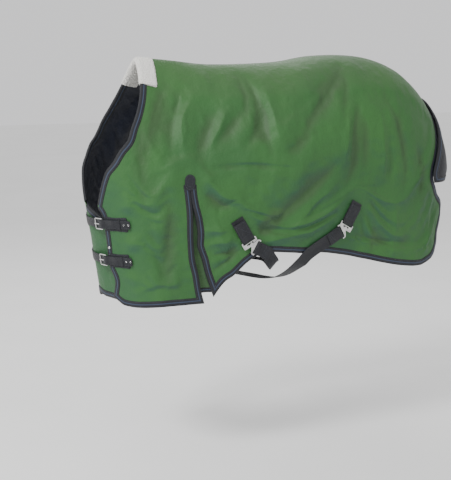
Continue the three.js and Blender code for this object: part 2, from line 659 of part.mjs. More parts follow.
function chestClosure(word, z) {
  const barP = nearClosure(z) - 1;
  const wrap = (a, b, h) => onSkin(NEAR, barP + a, z + b, h);
  const patch = (name, from, h) => add(name, slab(6, 1,
    (i, j) => wrap(from + (i * CHEST_PATCH_LENGTH) / 6, (j - 0.5) * CHEST_PATCH_WIDTH, h + PATCH_THICK),
    (i, j) => wrap(from + (i * CHEST_PATCH_LENGTH) / 6, (j - 0.5) * CHEST_PATCH_WIDTH, h)), 'tape');
  patch(`${word}_buckle_patch`, 4, PATCH_H);
  patch(`${word}_strap_patch`, -150 - CHEST_PATCH_LENGTH, 0.8);

  // the loop of webbing that holds the buckle, with a slot for the tongue
  const loop = roundTheBar(CHAPE_LENGTH, CHAPE_LENGTH, BAR_INNER, CHAPE_THICK, 0.4);
  const loopSections = strapSections(loop, BILLET, CHAPE_THICK, (s, b, h) => wrap(s, b, BAR_H + h));

  // buckle frame: local X points away from the rug edge, along the strap to its tip
  const bar = wrap(0, 0, BAR_H);
  const along = bar.clone().sub(wrap(-BUCKLE_REACH, 0, BAR_H)).normalize();
  const normal = outward(NEAR, barP - BUCKLE_REACH / 2, z);
  const up = normal.clone().cross(along).normalize();
  const seat = new THREE.Group();
  seat.quaternion.setFromRotationMatrix(new THREE.Matrix4().makeBasis(along, up, along.clone().cross(up)));
  seat.position.copy(bar);
  seat.updateMatrixWorld(true);
  rug.add(seat);
  const half = BUCKLE_INNER / 2;
  const frame = prism(
    roundedRectangle(-BUCKLE_REACH - BUCKLE_SIDE / 2, -half - BUCKLE_SIDE, BUCKLE_SIDE / 2,
      half + BUCKLE_SIDE, 5),
    [rectangle(-BUCKLE_REACH + BUCKLE_SIDE / 2, -half, -BUCKLE_SIDE / 2, half)], METAL);
  add(`${word}_buckle_frame`, frame.translate(0, 0, -METAL / 2), 'metal', seat);

  // tongue: an eye round the bar and an arm that rests on the far side of the frame
  const eye = range(0, 12).map((k) => [4.2 * Math.cos(2.62 + (k * 4.6) / 12),
    4.2 * Math.sin(2.62 + (k * 4.6) / 12)]);
  const arm = [[-2.4, 4.1], [-BUCKLE_REACH - 2.6, METAL / 2 + 2.3], [-BUCKLE_REACH - 2.6, METAL / 2 + 0.4],
    [-14, 1.2]];
  const hole = range(0, 9).map((k) => [(BAR_INNER - 0.1) * Math.cos((k * Math.PI) / 5),
    (BAR_INNER - 0.1) * Math.sin((k * Math.PI) / 5)]);
  const tongue = prism([...eye, ...arm], [hole], TONGUE).translate(0, 0, -TONGUE / 2).rotateX(QUARTER);
  add(`${word}_buckle_tongue`, tongue, 'metal', seat);

  const slot = (x0, x1, room) => block(x0, -TONGUE / 2 - room, -20, x1, TONGUE / 2 + room, 30)
    .applyMatrix4(seat.matrixWorld);
  const chape = sweep(loopSections, strapOutline);
  add(`${word}_buckle_chape`, cut(chape, slot(-9, 7, 1)), 'webbing');

  // the chest strap, from the off panel through the buckle to its free end
  const stops = [...range(0, 9).map((k) => lerp(BILLET_START, -60, k / 9)),
    ...range(0, 12).map((k) => lerp(-48, 60, k / 12)), 76, 90, 104, BILLET_TIP];
  const sections = stops.map((a) => [[-1, 0], [1, 0], [1, BILLET_THICK], [-1, BILLET_THICK]].map(
    ([way, thick]) => wrap(a, (way * BILLET) / 2, billetHeight(a) + thick)));
  const eyelets = [1, 2].map((k) => new THREE.CylinderGeometry(2.5, 2.5, 20, 10).rotateX(QUARTER)
    .applyMatrix4(stand(NEAR, barP + KEEPER_PLACE + 2 + k * 0.8 * HOLE_PITCH, z, 6).matrixWorld));
  add(`${word}_chest_strap`, cut(sweep(sections, strapOutline), slot(-24, 5, 1), ...eyelets), 'webbing');

  // a loop of webbing that keeps the free end of the strap flat
  const keeper = stand(NEAR, barP + KEEPER_PLACE, z, 0);
  const low = PATCH_H + PATCH_THICK + PLY_GAP;
  const high = BILLET_ON_PATCH + BILLET_THICK + FIT + KEEPER_WALL + 0.2;
  const ring = prism(rectangle(-BILLET / 2 - 1.4, low, BILLET / 2 + 1.4, high),
    [rectangle(-BILLET / 2 - 0.7, low + KEEPER_WALL, BILLET / 2 + 0.7, high - KEEPER_WALL)], KEEPER_LENGTH);
  ring.translate(0, 0, -KEEPER_LENGTH / 2).rotateX(QUARTER).rotateZ(QUARTER);
  add(`${word}_strap_keeper`, ring, 'webbing', keeper);
}

chestClosure('upper', -575);
chestClosure('lower', -710);

// ---------------------------------------------------------------- surcingles
const LOOP_INNER = 2.9;            // clear radius round the bars of the plates
const PLATE_HALF = WEBBING / 2 + 6;
const PLATE_LENGTH = 26;
const PLATE_H = 2 + WEBBING_THICK + LOOP_INNER;
const NECK = 18;                   // from the bar of the plate to the neck of the hook
const HOOK_REACH = 27;             // from the neck to the strap bar of the hook
const HOOK_H = PLATE_H + METAL + 0.9;
const HEAD_GAP = 1.2;
const HEAD_THICK = 2.4;
const RETURN = 58;                 // the folded end of a long strap
const LEVEL = 34;                  // flat stretch of a long strap below its hook
const SLIDER_LENGTH = 22;
const SLIDER_ROOM = 0.9;           // clearance over and under the strap in its slider

// on the near side: the bar of the slotted plate, the way its short strap runs down to
// it and the way the long strap leaves the hook, as [along p, up]. Then the long strap's
// way under the belly, and where it is sewn on the off side
const SURCINGLES = {
  front: {
    bar: [640, -646],
    down: [0.5, -0.866],
    away: [0.88, -0.475],
    hem: [[728, -716, 6], [752, -746, -2]],
    belly: [[352, -150, -752], [346, 0, -760], [384, 150, -754]],
    offHem: [[868, -752, -2], [892, -722, 8]],
    sewn: [[930, -690, 7.5], [1020, -612, 5.6], [1112, -532, 5.2]],
  },
  rear: {
    bar: [1064, -610],
    down: [-0.47, -0.883],
    away: [-0.86, -0.51],
    hem: [[895, -716, 8], [868, -752, -2]],
    belly: [[398, -150, -822], [348, 0, -832], [318, 150, -824]],
    offHem: [[752, -762, -2], [722, -728, 8]],
    sewn: [[696, -696, 7.5], [627, -590, 5.6], [561, -488, 5.2]],
  },
};

// evenly spread points of a smooth curve through the given ones
function through(points, count) {
  const curve = new THREE.CatmullRomCurve3(points, false, 'centripetal');
  return range(0, count).map((k) => curve.getPoint(k / count));
}

function surcingle(word) {
  const { bar, down, away, hem, belly, offHem, sewn } = SURCINGLES[word];
  const spinDown = Math.atan2(down[1], down[0]);
  const spinAway = Math.atan2(away[1], away[0]);
  const plateSeat = stand(NEAR, bar[0], bar[1], PLATE_H, spinDown);
  const hookSeat = new THREE.Group();
  hookSeat.position.set(NECK, 0, HOOK_H - PLATE_H);
  hookSeat.rotateZ(spinAway - spinDown);
  plateSeat.add(hookSeat);
  hookSeat.updateMatrixWorld(true);

  const short = roundTheBar(SURCINGLE_SHORT, SURCINGLE_SHORT - 14, LOOP_INNER, WEBBING_THICK, 2.8);
  const onPlate = (s, b, h) => V(-s, b, h).applyMatrix4(plateSeat.matrixWorld);
  const shortSections = strapSections(short, WEBBING, WEBBING_THICK, onPlate);
  add(`near_${word}_short_strap`, sweep(shortSections, strapOutline), 'webbing');

  const plate = prism(roundedRectangle(-2, -PLATE_HALF, PLATE_LENGTH, PLATE_HALF, 4),
    [rectangle(2, -WEBBING / 2 - 1, 8, WEBBING / 2 + 1),
      [[11, -14], [16, -14], [16, -5], [22, -5], [22, 5], [16, 5], [16, 14], [11, 14]]], METAL);
  add(`near_${word}_slot_plate`, plate.translate(0, 0, -METAL / 2), 'metal', plateSeat);

  const under = -METAL - 0.9 - METAL / 2 - HEAD_GAP;
  const [shoulder, heel] = [HOOK_REACH - 12, HOOK_REACH + 2];
  const body = prism([[-4, -6], [6, -8], [shoulder, 3 - PLATE_HALF], [shoulder + 5, -PLATE_HALF],
    [heel, -PLATE_HALF], [heel, PLATE_HALF], [shoulder + 5, PLATE_HALF], [shoulder, PLATE_HALF - 3],
    [6, 8], [-4, 6]],
  [rectangle(HOOK_REACH - 8, -WEBBING / 2 - 1, HOOK_REACH - 2, WEBBING / 2 + 1)], METAL);
  const stem = block(-2, -3, under - 1, 2, 3, 0);
  const head = block(-2.4, -11, under - HEAD_THICK, 2.4, 11, under);
  add(`${word}_surcingle_hook`, join(body.translate(0, 0, -METAL / 2), stem, head), 'metal', hookSeat);

  // the long strap folds round the bar of its hook, then runs under the belly
  const fold = roundTheBar(LEVEL, RETURN, LOOP_INNER, WEBBING_THICK, 0.4).reverse();
  const onHook = (s, b, h) => V(HOOK_REACH + s, b, h).applyMatrix4(hookSeat.matrixWorld);
  const folded = strapSections(fold, WEBBING, WEBBING_THICK, onHook);
  const hookIn = V(0, 0, -1).transformDirection(hookSeat.matrixWorld);
  const hookOut = V(1, 0, 0).transformDirection(hookSeat.matrixWorld);
  const start = onHook(LEVEL, 0, -LOOP_INNER);
  const outside = ([p, z, h], side) => ({
    point: onSkin(side, p, z, h), normal: outward(side, p, z).negate(),
  });
  // a straight stretch for the slider, then the sewn end over its patch
  const [first, last, end] = sewn.map((place) => outside(place, OFF));
  const straight = range(0, 3).map((k) => ({
    point: first.point.clone().lerp(last.point, k / 3), normal: last.normal,
  }));
  const knots = [
    { point: start, normal: hookIn },
    { point: start.clone().addScaledVector(hookOut, 14), normal: hookIn },
    ...hem.map((place) => outside(place, NEAR)),
    ...belly.map(([x, y, z]) => ({
      point: V(x * LENGTH_SCALE, y * WIDTH_SCALE, z),
      normal: V(0, y < 0 ? 0.2 : -0.2, 1).normalize(),
    })),
    ...offHem.map((place) => outside(place, OFF)),
    ...straight,
    end,
  ];
  const steps = 4 * (knots.length - 1);
  const points = through(knots.map((knot) => knot.point), steps);
  const normals = through(knots.map((knot) => knot.normal), steps);
  const rest = ribbonSections(points.map((point, k) => ({ point, normal: normals[k] })).slice(1),
    WEBBING, WEBBING_THICK);
  add(`${word}_surcingle`, sweep([...folded, ...rest], strapOutline), 'webbing');

  const [room, halfWeb] = [SLIDER_ROOM, WEBBING / 2 + 1];
  const wall = 1.6;
  const slider = prism(
    rectangle(-halfWeb - 3, -WEBBING_THICK - room - wall, halfWeb + 3, room + wall),
    [rectangle(-halfWeb, -WEBBING_THICK - room, halfWeb, room)], SLIDER_LENGTH);
  const slide = straight[3].point.clone().sub(straight[0].point).normalize();
  const outer = first.normal.clone().negate();
  const across = outer.clone().cross(slide).normalize();
  const sliderSeat = new THREE.Group();
  sliderSeat.quaternion.setFromRotationMatrix(
    new THREE.Matrix4().makeBasis(slide, across, slide.clone().cross(across)));
  sliderSeat.position.copy(straight[0].point).lerp(straight[3].point, 0.5);
  rug.add(sliderSeat);
  slider.translate(0, 0, -SLIDER_LENGTH / 2).rotateX(QUARTER).rotateZ(QUARTER);
  add(`${word}_surcingle_slider`, slider, 'metal', sliderSeat);

  // the patch under the sewn end
  const [[p0, z0], [p1, z1]] = [sewn[1], sewn[2]];
  const run = V(p1 - p0, z1 - z0, 0).normalize();
  const onPatch = (h) => (i, j) => {
    const [reach, side] = [lerp(4, Math.hypot(p1 - p0, z1 - z0) + 6, i / 4), (j - 1) * 29];
    return onSkin(OFF, p0 + run.x * reach - run.y * side, z0 + run.y * reach + run.x * side, h);
  };
  add(`${word}_surcingle_patch`, slab(4, 2, onPatch(2.4), onPatch(1)), 'tape');
}

surcingle('front');
surcingle('rear');

// ---------------------------------------------------------------- tail flap
const FLAP = 3;
const FLAP_TOP = -150;
const FLAP_FOOT = -478;
const FLAP_ROWS = 8;
const FLAP_COLUMNS = 12;
const FLAP_LAP = 14;               // how far it covers the edge of each side
const FLAP_SEAM_LAP = 30;          // the same at its sewn top
const FLAP_LIFT = 12;              // outer face of the flap above the cloth there
const FLAP_BAND = 7;               // degrees of its sweep under the edge tape
// how far back the middle of the flap stands at each height
const flapReach = curveThrough([[-500, 1196], [-478, 1208], [-440, 1226], [-400, 1220], [-350, 1203],
  [-302, 1182], [-250, 1171], [-200, 1162], [-168, 1151], [-140, 1127]]);

function flapPoint(i, row) {
  const z = lerp(FLAP_TOP, FLAP_FOOT, row / FLAP_ROWS);
  const lap = lerp(FLAP_SEAM_LAP, FLAP_LAP, ease((FLAP_TOP - z) / 60));
  const edge = onSkin(OFF, rearEdge(z) - lap, z, FLAP_LIFT);
  const open = 90 - FLAP_BAND;
  let degrees = lerp(-open, open, (i - 1) / (FLAP_COLUMNS - 2));
  if (i === 0) degrees = -90;
  if (i === FLAP_COLUMNS) degrees = 90;
  const turn = (degrees * Math.PI) / 180;
  const middle = Math.max(flapReach(z) * LENGTH_SCALE, edge.x + 4);
  return V(lerp(edge.x, middle, Math.cos(turn)), edge.y * Math.sin(turn), z);
}

function flapGrid() {
  const nodes = range(0, FLAP_COLUMNS).map((i) => range(0, FLAP_ROWS).map((j) => {
    const nudge = 0.02;
    const acrossway = flapPoint(Math.min(i + 1, FLAP_COLUMNS), j).sub(flapPoint(Math.max(i - 1, 0), j));
    const downway = flapPoint(i, j + nudge).sub(flapPoint(i, j - nudge));
    return { point: flapPoint(i, j), normal: downway.cross(acrossway).normalize() };
  }));
  return { at: betweenNodes(nodes) };
}

const flap = flapGrid();
const flapFace = (h) => (i, j) => flap.at(i, j, h);
add('tail_flap', slab(FLAP_COLUMNS, FLAP_ROWS, flapFace(0), flapFace(-FLAP), () => true,
  (i, j) => j === FLAP_ROWS - 1 && i === 0), 'lining');
const flapOutline = foldedTape(EDGE_TAPE_WIDTH, EDGE_TAPE, EDGE_TAPE_GAP, FLAP);
const flapTape = [
  ...range(1, FLAP_ROWS - 1).map((j) => edgeSection(flap, [0, j], [1, 0], flapOutline)),
  edgeSection(flap, [0, FLAP_ROWS], [1, -1], flapOutline),
  ...range(1, FLAP_COLUMNS - 1).map((i) => edgeSection(flap, [i, FLAP_ROWS], [0, -1], flapOutline)),
  edgeSection(flap, [FLAP_COLUMNS, FLAP_ROWS], [-1, -1], flapOutline),
  ...range(FLAP_ROWS - 1, 1).map((j) => edgeSection(flap, [FLAP_COLUMNS, j], [-1, 0], flapOutline)),
];
add('tail_flap_binding', sweep(flapTape, flapOutline), 'tape');

export default rug;
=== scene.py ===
import math

import bpy
import numpy as np
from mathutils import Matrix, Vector


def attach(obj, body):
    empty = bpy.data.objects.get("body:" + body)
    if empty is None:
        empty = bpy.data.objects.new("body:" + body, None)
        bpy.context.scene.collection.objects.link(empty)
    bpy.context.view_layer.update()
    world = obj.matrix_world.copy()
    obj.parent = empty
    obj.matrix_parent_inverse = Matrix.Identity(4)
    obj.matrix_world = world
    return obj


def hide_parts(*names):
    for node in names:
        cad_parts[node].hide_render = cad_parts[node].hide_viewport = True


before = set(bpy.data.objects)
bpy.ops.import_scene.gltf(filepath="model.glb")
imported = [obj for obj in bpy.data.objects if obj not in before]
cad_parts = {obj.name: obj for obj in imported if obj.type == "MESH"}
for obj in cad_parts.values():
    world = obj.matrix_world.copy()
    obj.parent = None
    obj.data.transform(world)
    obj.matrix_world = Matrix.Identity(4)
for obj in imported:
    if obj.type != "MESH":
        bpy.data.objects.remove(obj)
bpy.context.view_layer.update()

# A turnout rug as it hangs on a horse. Lengths are millimetres until a mesh is made. "p" is
# the distance walked round the plan of the rug from the middle of the chest, "q" the square
# root of the depth below the spine and "h" the distance outside the outer face of the cloth.
MM = 0.001
NEAR, OFF = -1, 1
SIDES = ((NEAR, "near"), (OFF, "off"))
QUARTER = math.pi / 2

# ------------------------------------------------------------------ sizes shared with the frame
CHEST_X, CHEST_DEPTH, CHEST_RUN = -50, 245, 390
RUMP_X, RUMP_DEPTH, RUMP_RUN = 890, 358, 520
RUMP_P = CHEST_RUN + RUMP_X - CHEST_X
CHEST_RAKE, CHEST_RAKE_Z = 0.17, -640
PLIES = 7.4                 # outer cloth, wadding and lining together
TAPE_WIDTH = 22             # edge tape, from the edge inwards
TAPE_PROUD = 2.0            # how far the tape stands out of the cloth
CHEST_LAP = 15
WEBBING, WEBBING_THICK = 50, 2.4
BILLET, BILLET_THICK = 32, 2
PATCH_LENGTH, PATCH_WIDTH, PATCH_THICK = 100, 52, 1.6
PATCH_H = TAPE_PROUD + 0.4
METAL = 3
PLY_GAP = 0.3
BUCKLE_REACH = 36
COLLAR_P, COLLAR_FOOT, DOCK_P = 340, -515, 1580
NEAR_CLOSURE_P, OFF_CLOSURE_P = 74, -150
SLIT_TOP = -430
TUCK_HEIGHT = 420


def ease(t):
    c = np.clip(t, 0, 1)
    return c * c * (3 - 2 * c)


def lerp(a, b, t):
    return a + (b - a) * t


def curve_through(points):
    """A smooth curve through a few given points (x, value)."""
    xs, ys = np.array(points, float).T
    slope = np.gradient(ys, xs)
    slope[1:-1] = (ys[2:] - ys[:-2]) / (xs[2:] - xs[:-2])
    slope[0] = (ys[1] - ys[0]) / (xs[1] - xs[0])
    slope[-1] = (ys[-1] - ys[-2]) / (xs[-1] - xs[-2])

    def at(x):
        c = np.clip(x, xs[0], xs[-1])
        i = np.clip(np.searchsorted(xs, c, side="right") - 1, 0, len(xs) - 2)
        step = xs[i + 1] - xs[i]
        t = (c - xs[i]) / step
        t2, t3 = t * t, t * t * t
        return ((2 * t3 - 3 * t2 + 1) * ys[i] + (t3 - 2 * t2 + t) * step * slope[i]
                + (3 * t2 - 2 * t3) * ys[i + 1] + (t3 - t2) * step * slope[i + 1])
    return at


# ------------------------------------------------------------------ form of the rug
ridge = curve_through([(-320, 14), (-100, 14), (0, 8), (150, -8), (320, -8), (480, 0), (640, 22),
                       (820, 20), (940, -12), (1040, -74), (1120, -152), (1185, -235),
                       (1230, -322), (1262, -420)])
half_width = curve_through([(-320, 225), (-50, 225), (150, 262), (400, 300), (700, 292),
                            (900, 285), (1300, 262)])
side_drop = curve_through([(-320, 470), (0, 450), (400, 420), (800, 320), (1300, 300)])
side_round = curve_through([(-320, 1.6), (0, 1.6), (400, 2), (800, 2.2), (1300, 2.2)])
roof_round = curve_through([(-320, 1.25), (0, 1.35), (400, 2), (800, 2.2), (1300, 2.2)])
belly_tuck = curve_through([(-320, -0.02), (100, 0), (250, 0.08), (400, 0.16), (600, 0.13),
                            (800, 0.03), (1300, -0.02)])
collar_edge = curve_through([(-515, 68), (-391, 135), (-352, 175), (-310, 208), (-275, 241),
                             (-230, 263), (-181, 288), (-133, 307), (-74, 324), (-20, 334),
                             (14, COLLAR_P)])
near_closure = curve_through([(-852, 74), (-820, 90), (-785, 101), (-731, 82), (-663, 87),
                              (-592, 91), (-545, 88), (-515, 68)])
off_closure = curve_through([(-868, -150), (-700, -150), (-606, -125), (-515, 45)])
slit_front = curve_through([(-871, 472), (-821, 460), (-758, 450), (-706, 438), (-617, 433),
                            (-533, 432), (-464, 425), (-430, 421), (0, 480)])
slit_rear = curve_through([(-846, 510), (-759, 481), (-706, 468), (-661, 453), (-620, 454),
                           (-568, 449), (-506, 434), (-430, 427), (0, 487)])
front_hem = curve_through([(-150, -868), (0, -862), (74, -852), (131, -876), (230, -878),
                           (313, -874), (472, -871)])
rear_hem = curve_through([(510, -846), (549, -796), (586, -773), (643, -725), (706, -697),
                          (797, -701), (868, -710), (961, -715), (1067, -734), (1152, -754),
                          (1284, -786), (1380, -802), (1430, -804)])
rear_edge = curve_through([(-804, 1430), (-786, 1492), (-743, 1538), (-680, 1556), (-611, 1592),
                           (-564, 1579), (-540, 1550), (-503, 1516), (-448, 1492), (-382, 1514),
                           (-302, 1548), (-200, 1575), (-150, DOCK_P)])


def plan(p):
    front = np.clip(p / CHEST_RUN, -1, 1) * QUARTER
    back = np.clip((p - RUMP_P) / RUMP_RUN, 0, 1) * QUARTER
    x = np.where(p < CHEST_RUN, CHEST_X - CHEST_DEPTH * np.cos(front),
                 np.where(p < RUMP_P, CHEST_X + p - CHEST_RUN, RUMP_X + RUMP_DEPTH * np.sin(back)))
    return x, np.where(p < CHEST_RUN, np.sin(front), np.cos(back))


def skin(side, p, q):
    x, cap = plan(p)
    depth = q * q
    height = ridge(x) - depth
    drop = side_drop(x)
    fall = np.clip(depth / drop, 0, 1)
    low = np.maximum(depth - drop, 0) / TUCK_HEIGHT
    round_ = (1 - (1 - fall) ** side_round(x)) ** (1 / roof_round(x))
    half = half_width(x) * cap * round_ * (1 - belly_tuck(x) * low * low)
    lean = -np.clip((CHEST_X - x) / CHEST_DEPTH, 0, 1) * CHEST_RAKE * (height - CHEST_RAKE_Z)
    return np.stack([x + lean, side * half, height], axis=-1)


def unit(v):
    return v / np.maximum(np.linalg.norm(v, axis=-1, keepdims=True), 1e-9)


def outward(side, p, q):
    root = np.maximum(q, 2.5)
    along = skin(side, p + 4, root) - skin(side, p - 4, root)
    down = skin(side, p, root + 0.6) - skin(side, p, root - 0.6)
    return unit(np.cross(along, down)) * (-1 if side == NEAR else 1)


def root_at(p, z):
    return np.sqrt(np.maximum(ridge(plan(p)[0]) - z, 0))


# ------------------------------------------------------------------ folds in the cloth
# Each fold is (height, half width, its line in p and z); a valley has a negative height.
FOLDS = [
    (-11, 26, [(1107, -21), (998, -124), (912, -214), (881, -278)]),
    (8, 30, [(973, -100), (851, -183), (785, -254)]),
    (-8, 22, [(1016, -70), (888, -160), (793, -215)]),
    (-7, 26, [(881, -278), (840, -312), (774, -340)]),
    (-9, 22, [(709, -48), (722, -139), (724, -239), (740, -325)]),
    (6, 20, [(760, -90), (765, -190), (775, -300)]),
    (-8, 24, [(736, -182), (691, -256), (638, -309)]),
    (-7, 20, [(1099, -70), (1070, -150), (1051, -240)]),
    (-8, 22, [(1134, -137), (1100, -263), (1100, -376), (1062, -474)]),
    (6, 22, [(1080, -180), (1062, -290), (1040, -400)]),
    (-6, 24, [(1150, -200), (1152, -390)]),
    (5, 18, [(1215, -170), (1230, -300), (1238, -430)]),
    (-6, 16, [(1254, -120), (1305, -223), (1344, -388), (1343, -500)]),
    (-4, 18, [(1256, -222), (1271, -384), (1260, -470)]),
    (-10, 34, [(1020, -380), (837, -517), (716, -604)]),
    (7, 26, [(1010, -450), (880, -560), (800, -622)]),
    (-6, 20, [(960, -500), (880, -575)]),
    (-4, 8, [(476, -380), (640, -372), (802, -385)]),
    (-8, 24, [(384, -92), (328, -221), (298, -300)]),
    (7, 22, [(488, -118), (432, -188), (408, -300)]),
    (-7, 20, [(440, -110), (385, -220), (366, -330)]),
    (-8, 24, [(558, -170), (515, -240), (473, -315)]),
    (6, 20, [(610, -160), (550, -250), (500, -320)]),
    (-8, 22, [(663, -170), (585, -250), (520, -306)]),
    (-6, 18, [(682, -56), (686, -120), (663, -209)]),
    (-6, 34, [(352, -457), (345, -640), (337, -832)]),
    (-6, 30, [(314, -144), (275, -300), (262, -465)]),
    (5, 26, [(205, -440), (215, -620), (190, -800)]),
    (-7, 14, [(515, -695), (560, -690), (600, -668)]),
    (5, 14, [(500, -655), (560, -645), (605, -625)]),
    (-6, 16, [(500, -760), (560, -722), (618, -672)]),
    (6, 18, [(471, -601), (530, -608), (594, -599)]),
    (6, 22, [(473, -412), (594, -477), (640, -530)]),
    (-7, 20, [(480, -470), (560, -520), (612, -560)]),
    (-9, 22, [(760, -560), (714, -600), (672, -650)]),
    (6, 20, [(800, -640), (730, -655), (676, -672)]),
    (-5, 20, [(1180, -520), (1195, -640), (1190, -740)]),
    (5, 24, [(1290, -520), (1300, -650), (1280, -760)]),
    (-6, 22, [(1400, -300), (1430, -430), (1425, -560)]),
    (5, 20, [(1480, -560), (1470, -680), (1440, -770)]),
    (-5, 24, [(1120, -660), (1230, -690), (1340, -700)]),
]
# straps and hardware that hold the cloth flat, as lines in p and z
HELD = {
    NEAR: [[(-160, -575), (215, -575)], [(-160, -710), (215, -710)],
           [(595, -568), (640, -646), (752, -746)], [(1106, -531), (1064, -610), (868, -752)],
           [(421, -400), (425, -455)]],
    OFF: [[(-160, -575), (160, -575)], [(-160, -710), (160, -710)],
          [(868, -752), (930, -690), (1112, -532)], [(722, -728), (696, -696), (561, -488)],
          [(421, -400), (425, -455)]],
}
HOLD_HALF, HOLD_REACH = 26, 46
FOLD_DEPTH = 1.45


def to_line(p, z, line):
    """Distance to a line of points, and how far along it the nearest place is, 0 to 1."""
    points = np.array(line, float)
    spans = np.linalg.norm(np.diff(points, axis=0), axis=1)
    start = np.concatenate([[0], np.cumsum(spans)])
    best = np.full(np.shape(p), 1e9)
    place = np.zeros(np.shape(p))
    for k, span in enumerate(spans):
        way = (points[k + 1] - points[k]) / span
        t = np.clip((p - points[k][0]) * way[0] + (z - points[k][1]) * way[1], 0, span)
        d = np.hypot(p - points[k][0] - way[0] * t, z - points[k][1] - way[1] * t)
        nearer = d < best
        best = np.where(nearer, d, best)
        place = np.where(nearer, (start[k] + t) / start[-1], place)
    return best, place


def ripple(p, z, seed, wavelength, slant=0.35, waves=14):
    """Gentle irregular waves that run mostly down the cloth; about -1 to 1."""
    rng = np.random.default_rng(seed)
    total = 0
    for _ in range(waves):
        length = wavelength * rng.uniform(0.6, 1.8)
        turn = rng.normal(0, slant)
        phase = rng.uniform(0, 2 * math.pi)
        bend = 0.6 * np.sin((z + 90 * rng.uniform(-1, 1)) / rng.uniform(90, 180))
        total = total + np.sin(2 * math.pi * (p * math.cos(turn) + z * math.sin(turn)) / length
                               + bend + phase)
    return total / math.sqrt(waves) / 1.4


def fold_height(side, p, q):
    x, _ = plan(p)
    depth = q * q
    z = ridge(x) - depth
    shift, share = (0, 1) if side == NEAR else (34, 0.85)
    height = 2.2 * ripple(p, z, 11 + side, 120) + 0.9 * ripple(p, z, 31 + side, 46, 0.7)
    for tall, wide, line in FOLDS:
        moved = [(a + shift, b - shift / 2) for a, b in line]
        d, along = to_line(p, z, moved)
        r = d / wide
        taper = np.sin(math.pi * (0.06 + 0.88 * along)) ** 0.7
        height = height + FOLD_DEPTH * share * tall * taper * (1 - 0.4 * r * r) * np.exp(-0.9 * r)
    for line in HELD[side]:
        d, _ = to_line(p, z, line)
        height = height * ease((d - HOLD_HALF) / HOLD_REACH)
    height = height * ease(depth / 45) * (0.35 + 0.65 * ease((np.abs(p) - 70) / 160))
    under_flap = ease((p - 1440) / 60) * ease((z + 520) / 60)
    height = height * (1 - 0.85 * under_flap)
    return np.clip(height, -16, 12)


def on_cloth(side, p, q, h=0.0, folds=1.0):
    """A point h outside the outer face, folds included; the off side laps under at the chest."""
    lap = CHEST_LAP * ease((60 - p) / 120) if side == OFF else 0
    lift = h - lap + folds * fold_height(side, p, q)
    return skin(side, p, q) + outward(side, p, q) * np.expand_dims(lift, -1)


def cloth_at(side, p, z, h=0.0):
    p, z = np.asarray(p, float), np.asarray(z, float)
    return on_cloth(side, p, root_at(p, z), h)


# ------------------------------------------------------------------ meshes
def new_mesh(name, points, faces, uv=None, smooth=45):
    """points in millimetres; uv in metres, one pair for each point."""
    mesh = bpy.data.meshes.new(name)
    mesh.from_pydata((np.asarray(points).reshape(-1, 3) * MM).tolist(), [],
                     [tuple(int(i) for i in face) for face in faces])
    mesh.validate()
    if uv is not None:
        layer = mesh.uv_layers.new(name="cloth")
        corner = np.empty(len(mesh.loops), int)
        mesh.loops.foreach_get("vertex_index", corner)
        layer.data.foreach_set("uv", np.asarray(uv, float).reshape(-1, 2)[corner].ravel())
    obj = bpy.data.objects.new(name, mesh)
    bpy.context.scene.collection.objects.link(obj)
    mesh.polygons.foreach_set("use_smooth", [True] * len(mesh.polygons))
    if smooth:
        mesh.set_sharp_from_angle(angle=math.radians(smooth))
    return obj


def grid_faces(index, flip=False):
    a, b, c, d = index[:-1, :-1], index[1:, :-1], index[1:, 1:], index[:-1, 1:]
    order = [a, d, c, b] if flip else [a, b, c, d]
    return np.stack([part.ravel() for part in order], axis=1).tolist()


def piece(obj, material, body="rug", replaces=()):
    obj.data.materials.clear()
    obj.data.materials.append(material)
    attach(obj, body)
    if replaces:
        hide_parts(*replaces)
    return obj


def solidify(obj, thickness, offset=-1):
    thick = obj.modifiers.new("thickness", "SOLIDIFY")
    thick.thickness = thickness * MM
    thick.offset = offset
    thick.use_even_offset = False


def loft(name, sections, uv_across=None, smooth=50):
    """A closed skin over a run of closed cross-sections, capped at both ends."""
    sections = np.asarray(sections, float)
    runs, ring = sections.shape[:2]
    index = np.arange(runs * ring).reshape(runs, ring)
    wrapped = np.concatenate([index, index[:, :1]], axis=1)
    faces = grid_faces(wrapped)
    faces += [index[0].tolist(), index[-1][::-1].tolist()]
    middle = sections.mean(axis=1)
    walked = np.concatenate([[0], np.cumsum(np.linalg.norm(np.diff(middle, axis=0), axis=1))])
    across = np.linspace(0, 1, ring) if uv_across is None else np.asarray(uv_across, float)
    uv = np.stack(np.meshgrid(walked * MM, across * MM, indexing="ij"), axis=-1)
    volume = 0
    for a, b, c, *rest in faces[: len(faces) - 2]:
        pa, pb, pc, pd = (sections.reshape(-1, 3)[i] for i in (a, b, c, rest[0]))
        volume += np.dot(pa, np.cross(pb, pc)) + np.dot(pa, np.cross(pc, pd))
    if volume < 0:
        faces = [face[::-1] for face in faces]
    return new_mesh(name, sections, faces, uv, smooth)


# ------------------------------------------------------------------ materials
def shader(name, roughness=0.6, metallic=0.0, sheen=0.0, coat=0.0):
    material = bpy.data.materials.new(name)
    material.use_nodes = True
    tree = material.node_tree
    bsdf = tree.nodes["Principled BSDF"]
    bsdf.inputs["Roughness"].default_value = roughness
    bsdf.inputs["Metallic"].default_value = metallic
    bsdf.inputs["Sheen Weight"].default_value = sheen
    bsdf.inputs["Coat Weight"].default_value = coat
    return material, tree, bsdf


def add_node(tree, kind, **values):
    made = tree.nodes.new(kind)
    for key, value in values.items():
        if key in made.inputs:
            made.inputs[key].default_value = value
        else:
            setattr(made, key, value)
    return made


def cloth_uv(tree):
    return add_node(tree, "ShaderNodeUVMap", uv_map="cloth").outputs["UV"]


def place_of(tree):
    return add_node(tree, "ShaderNodeTexCoord").outputs["Object"]


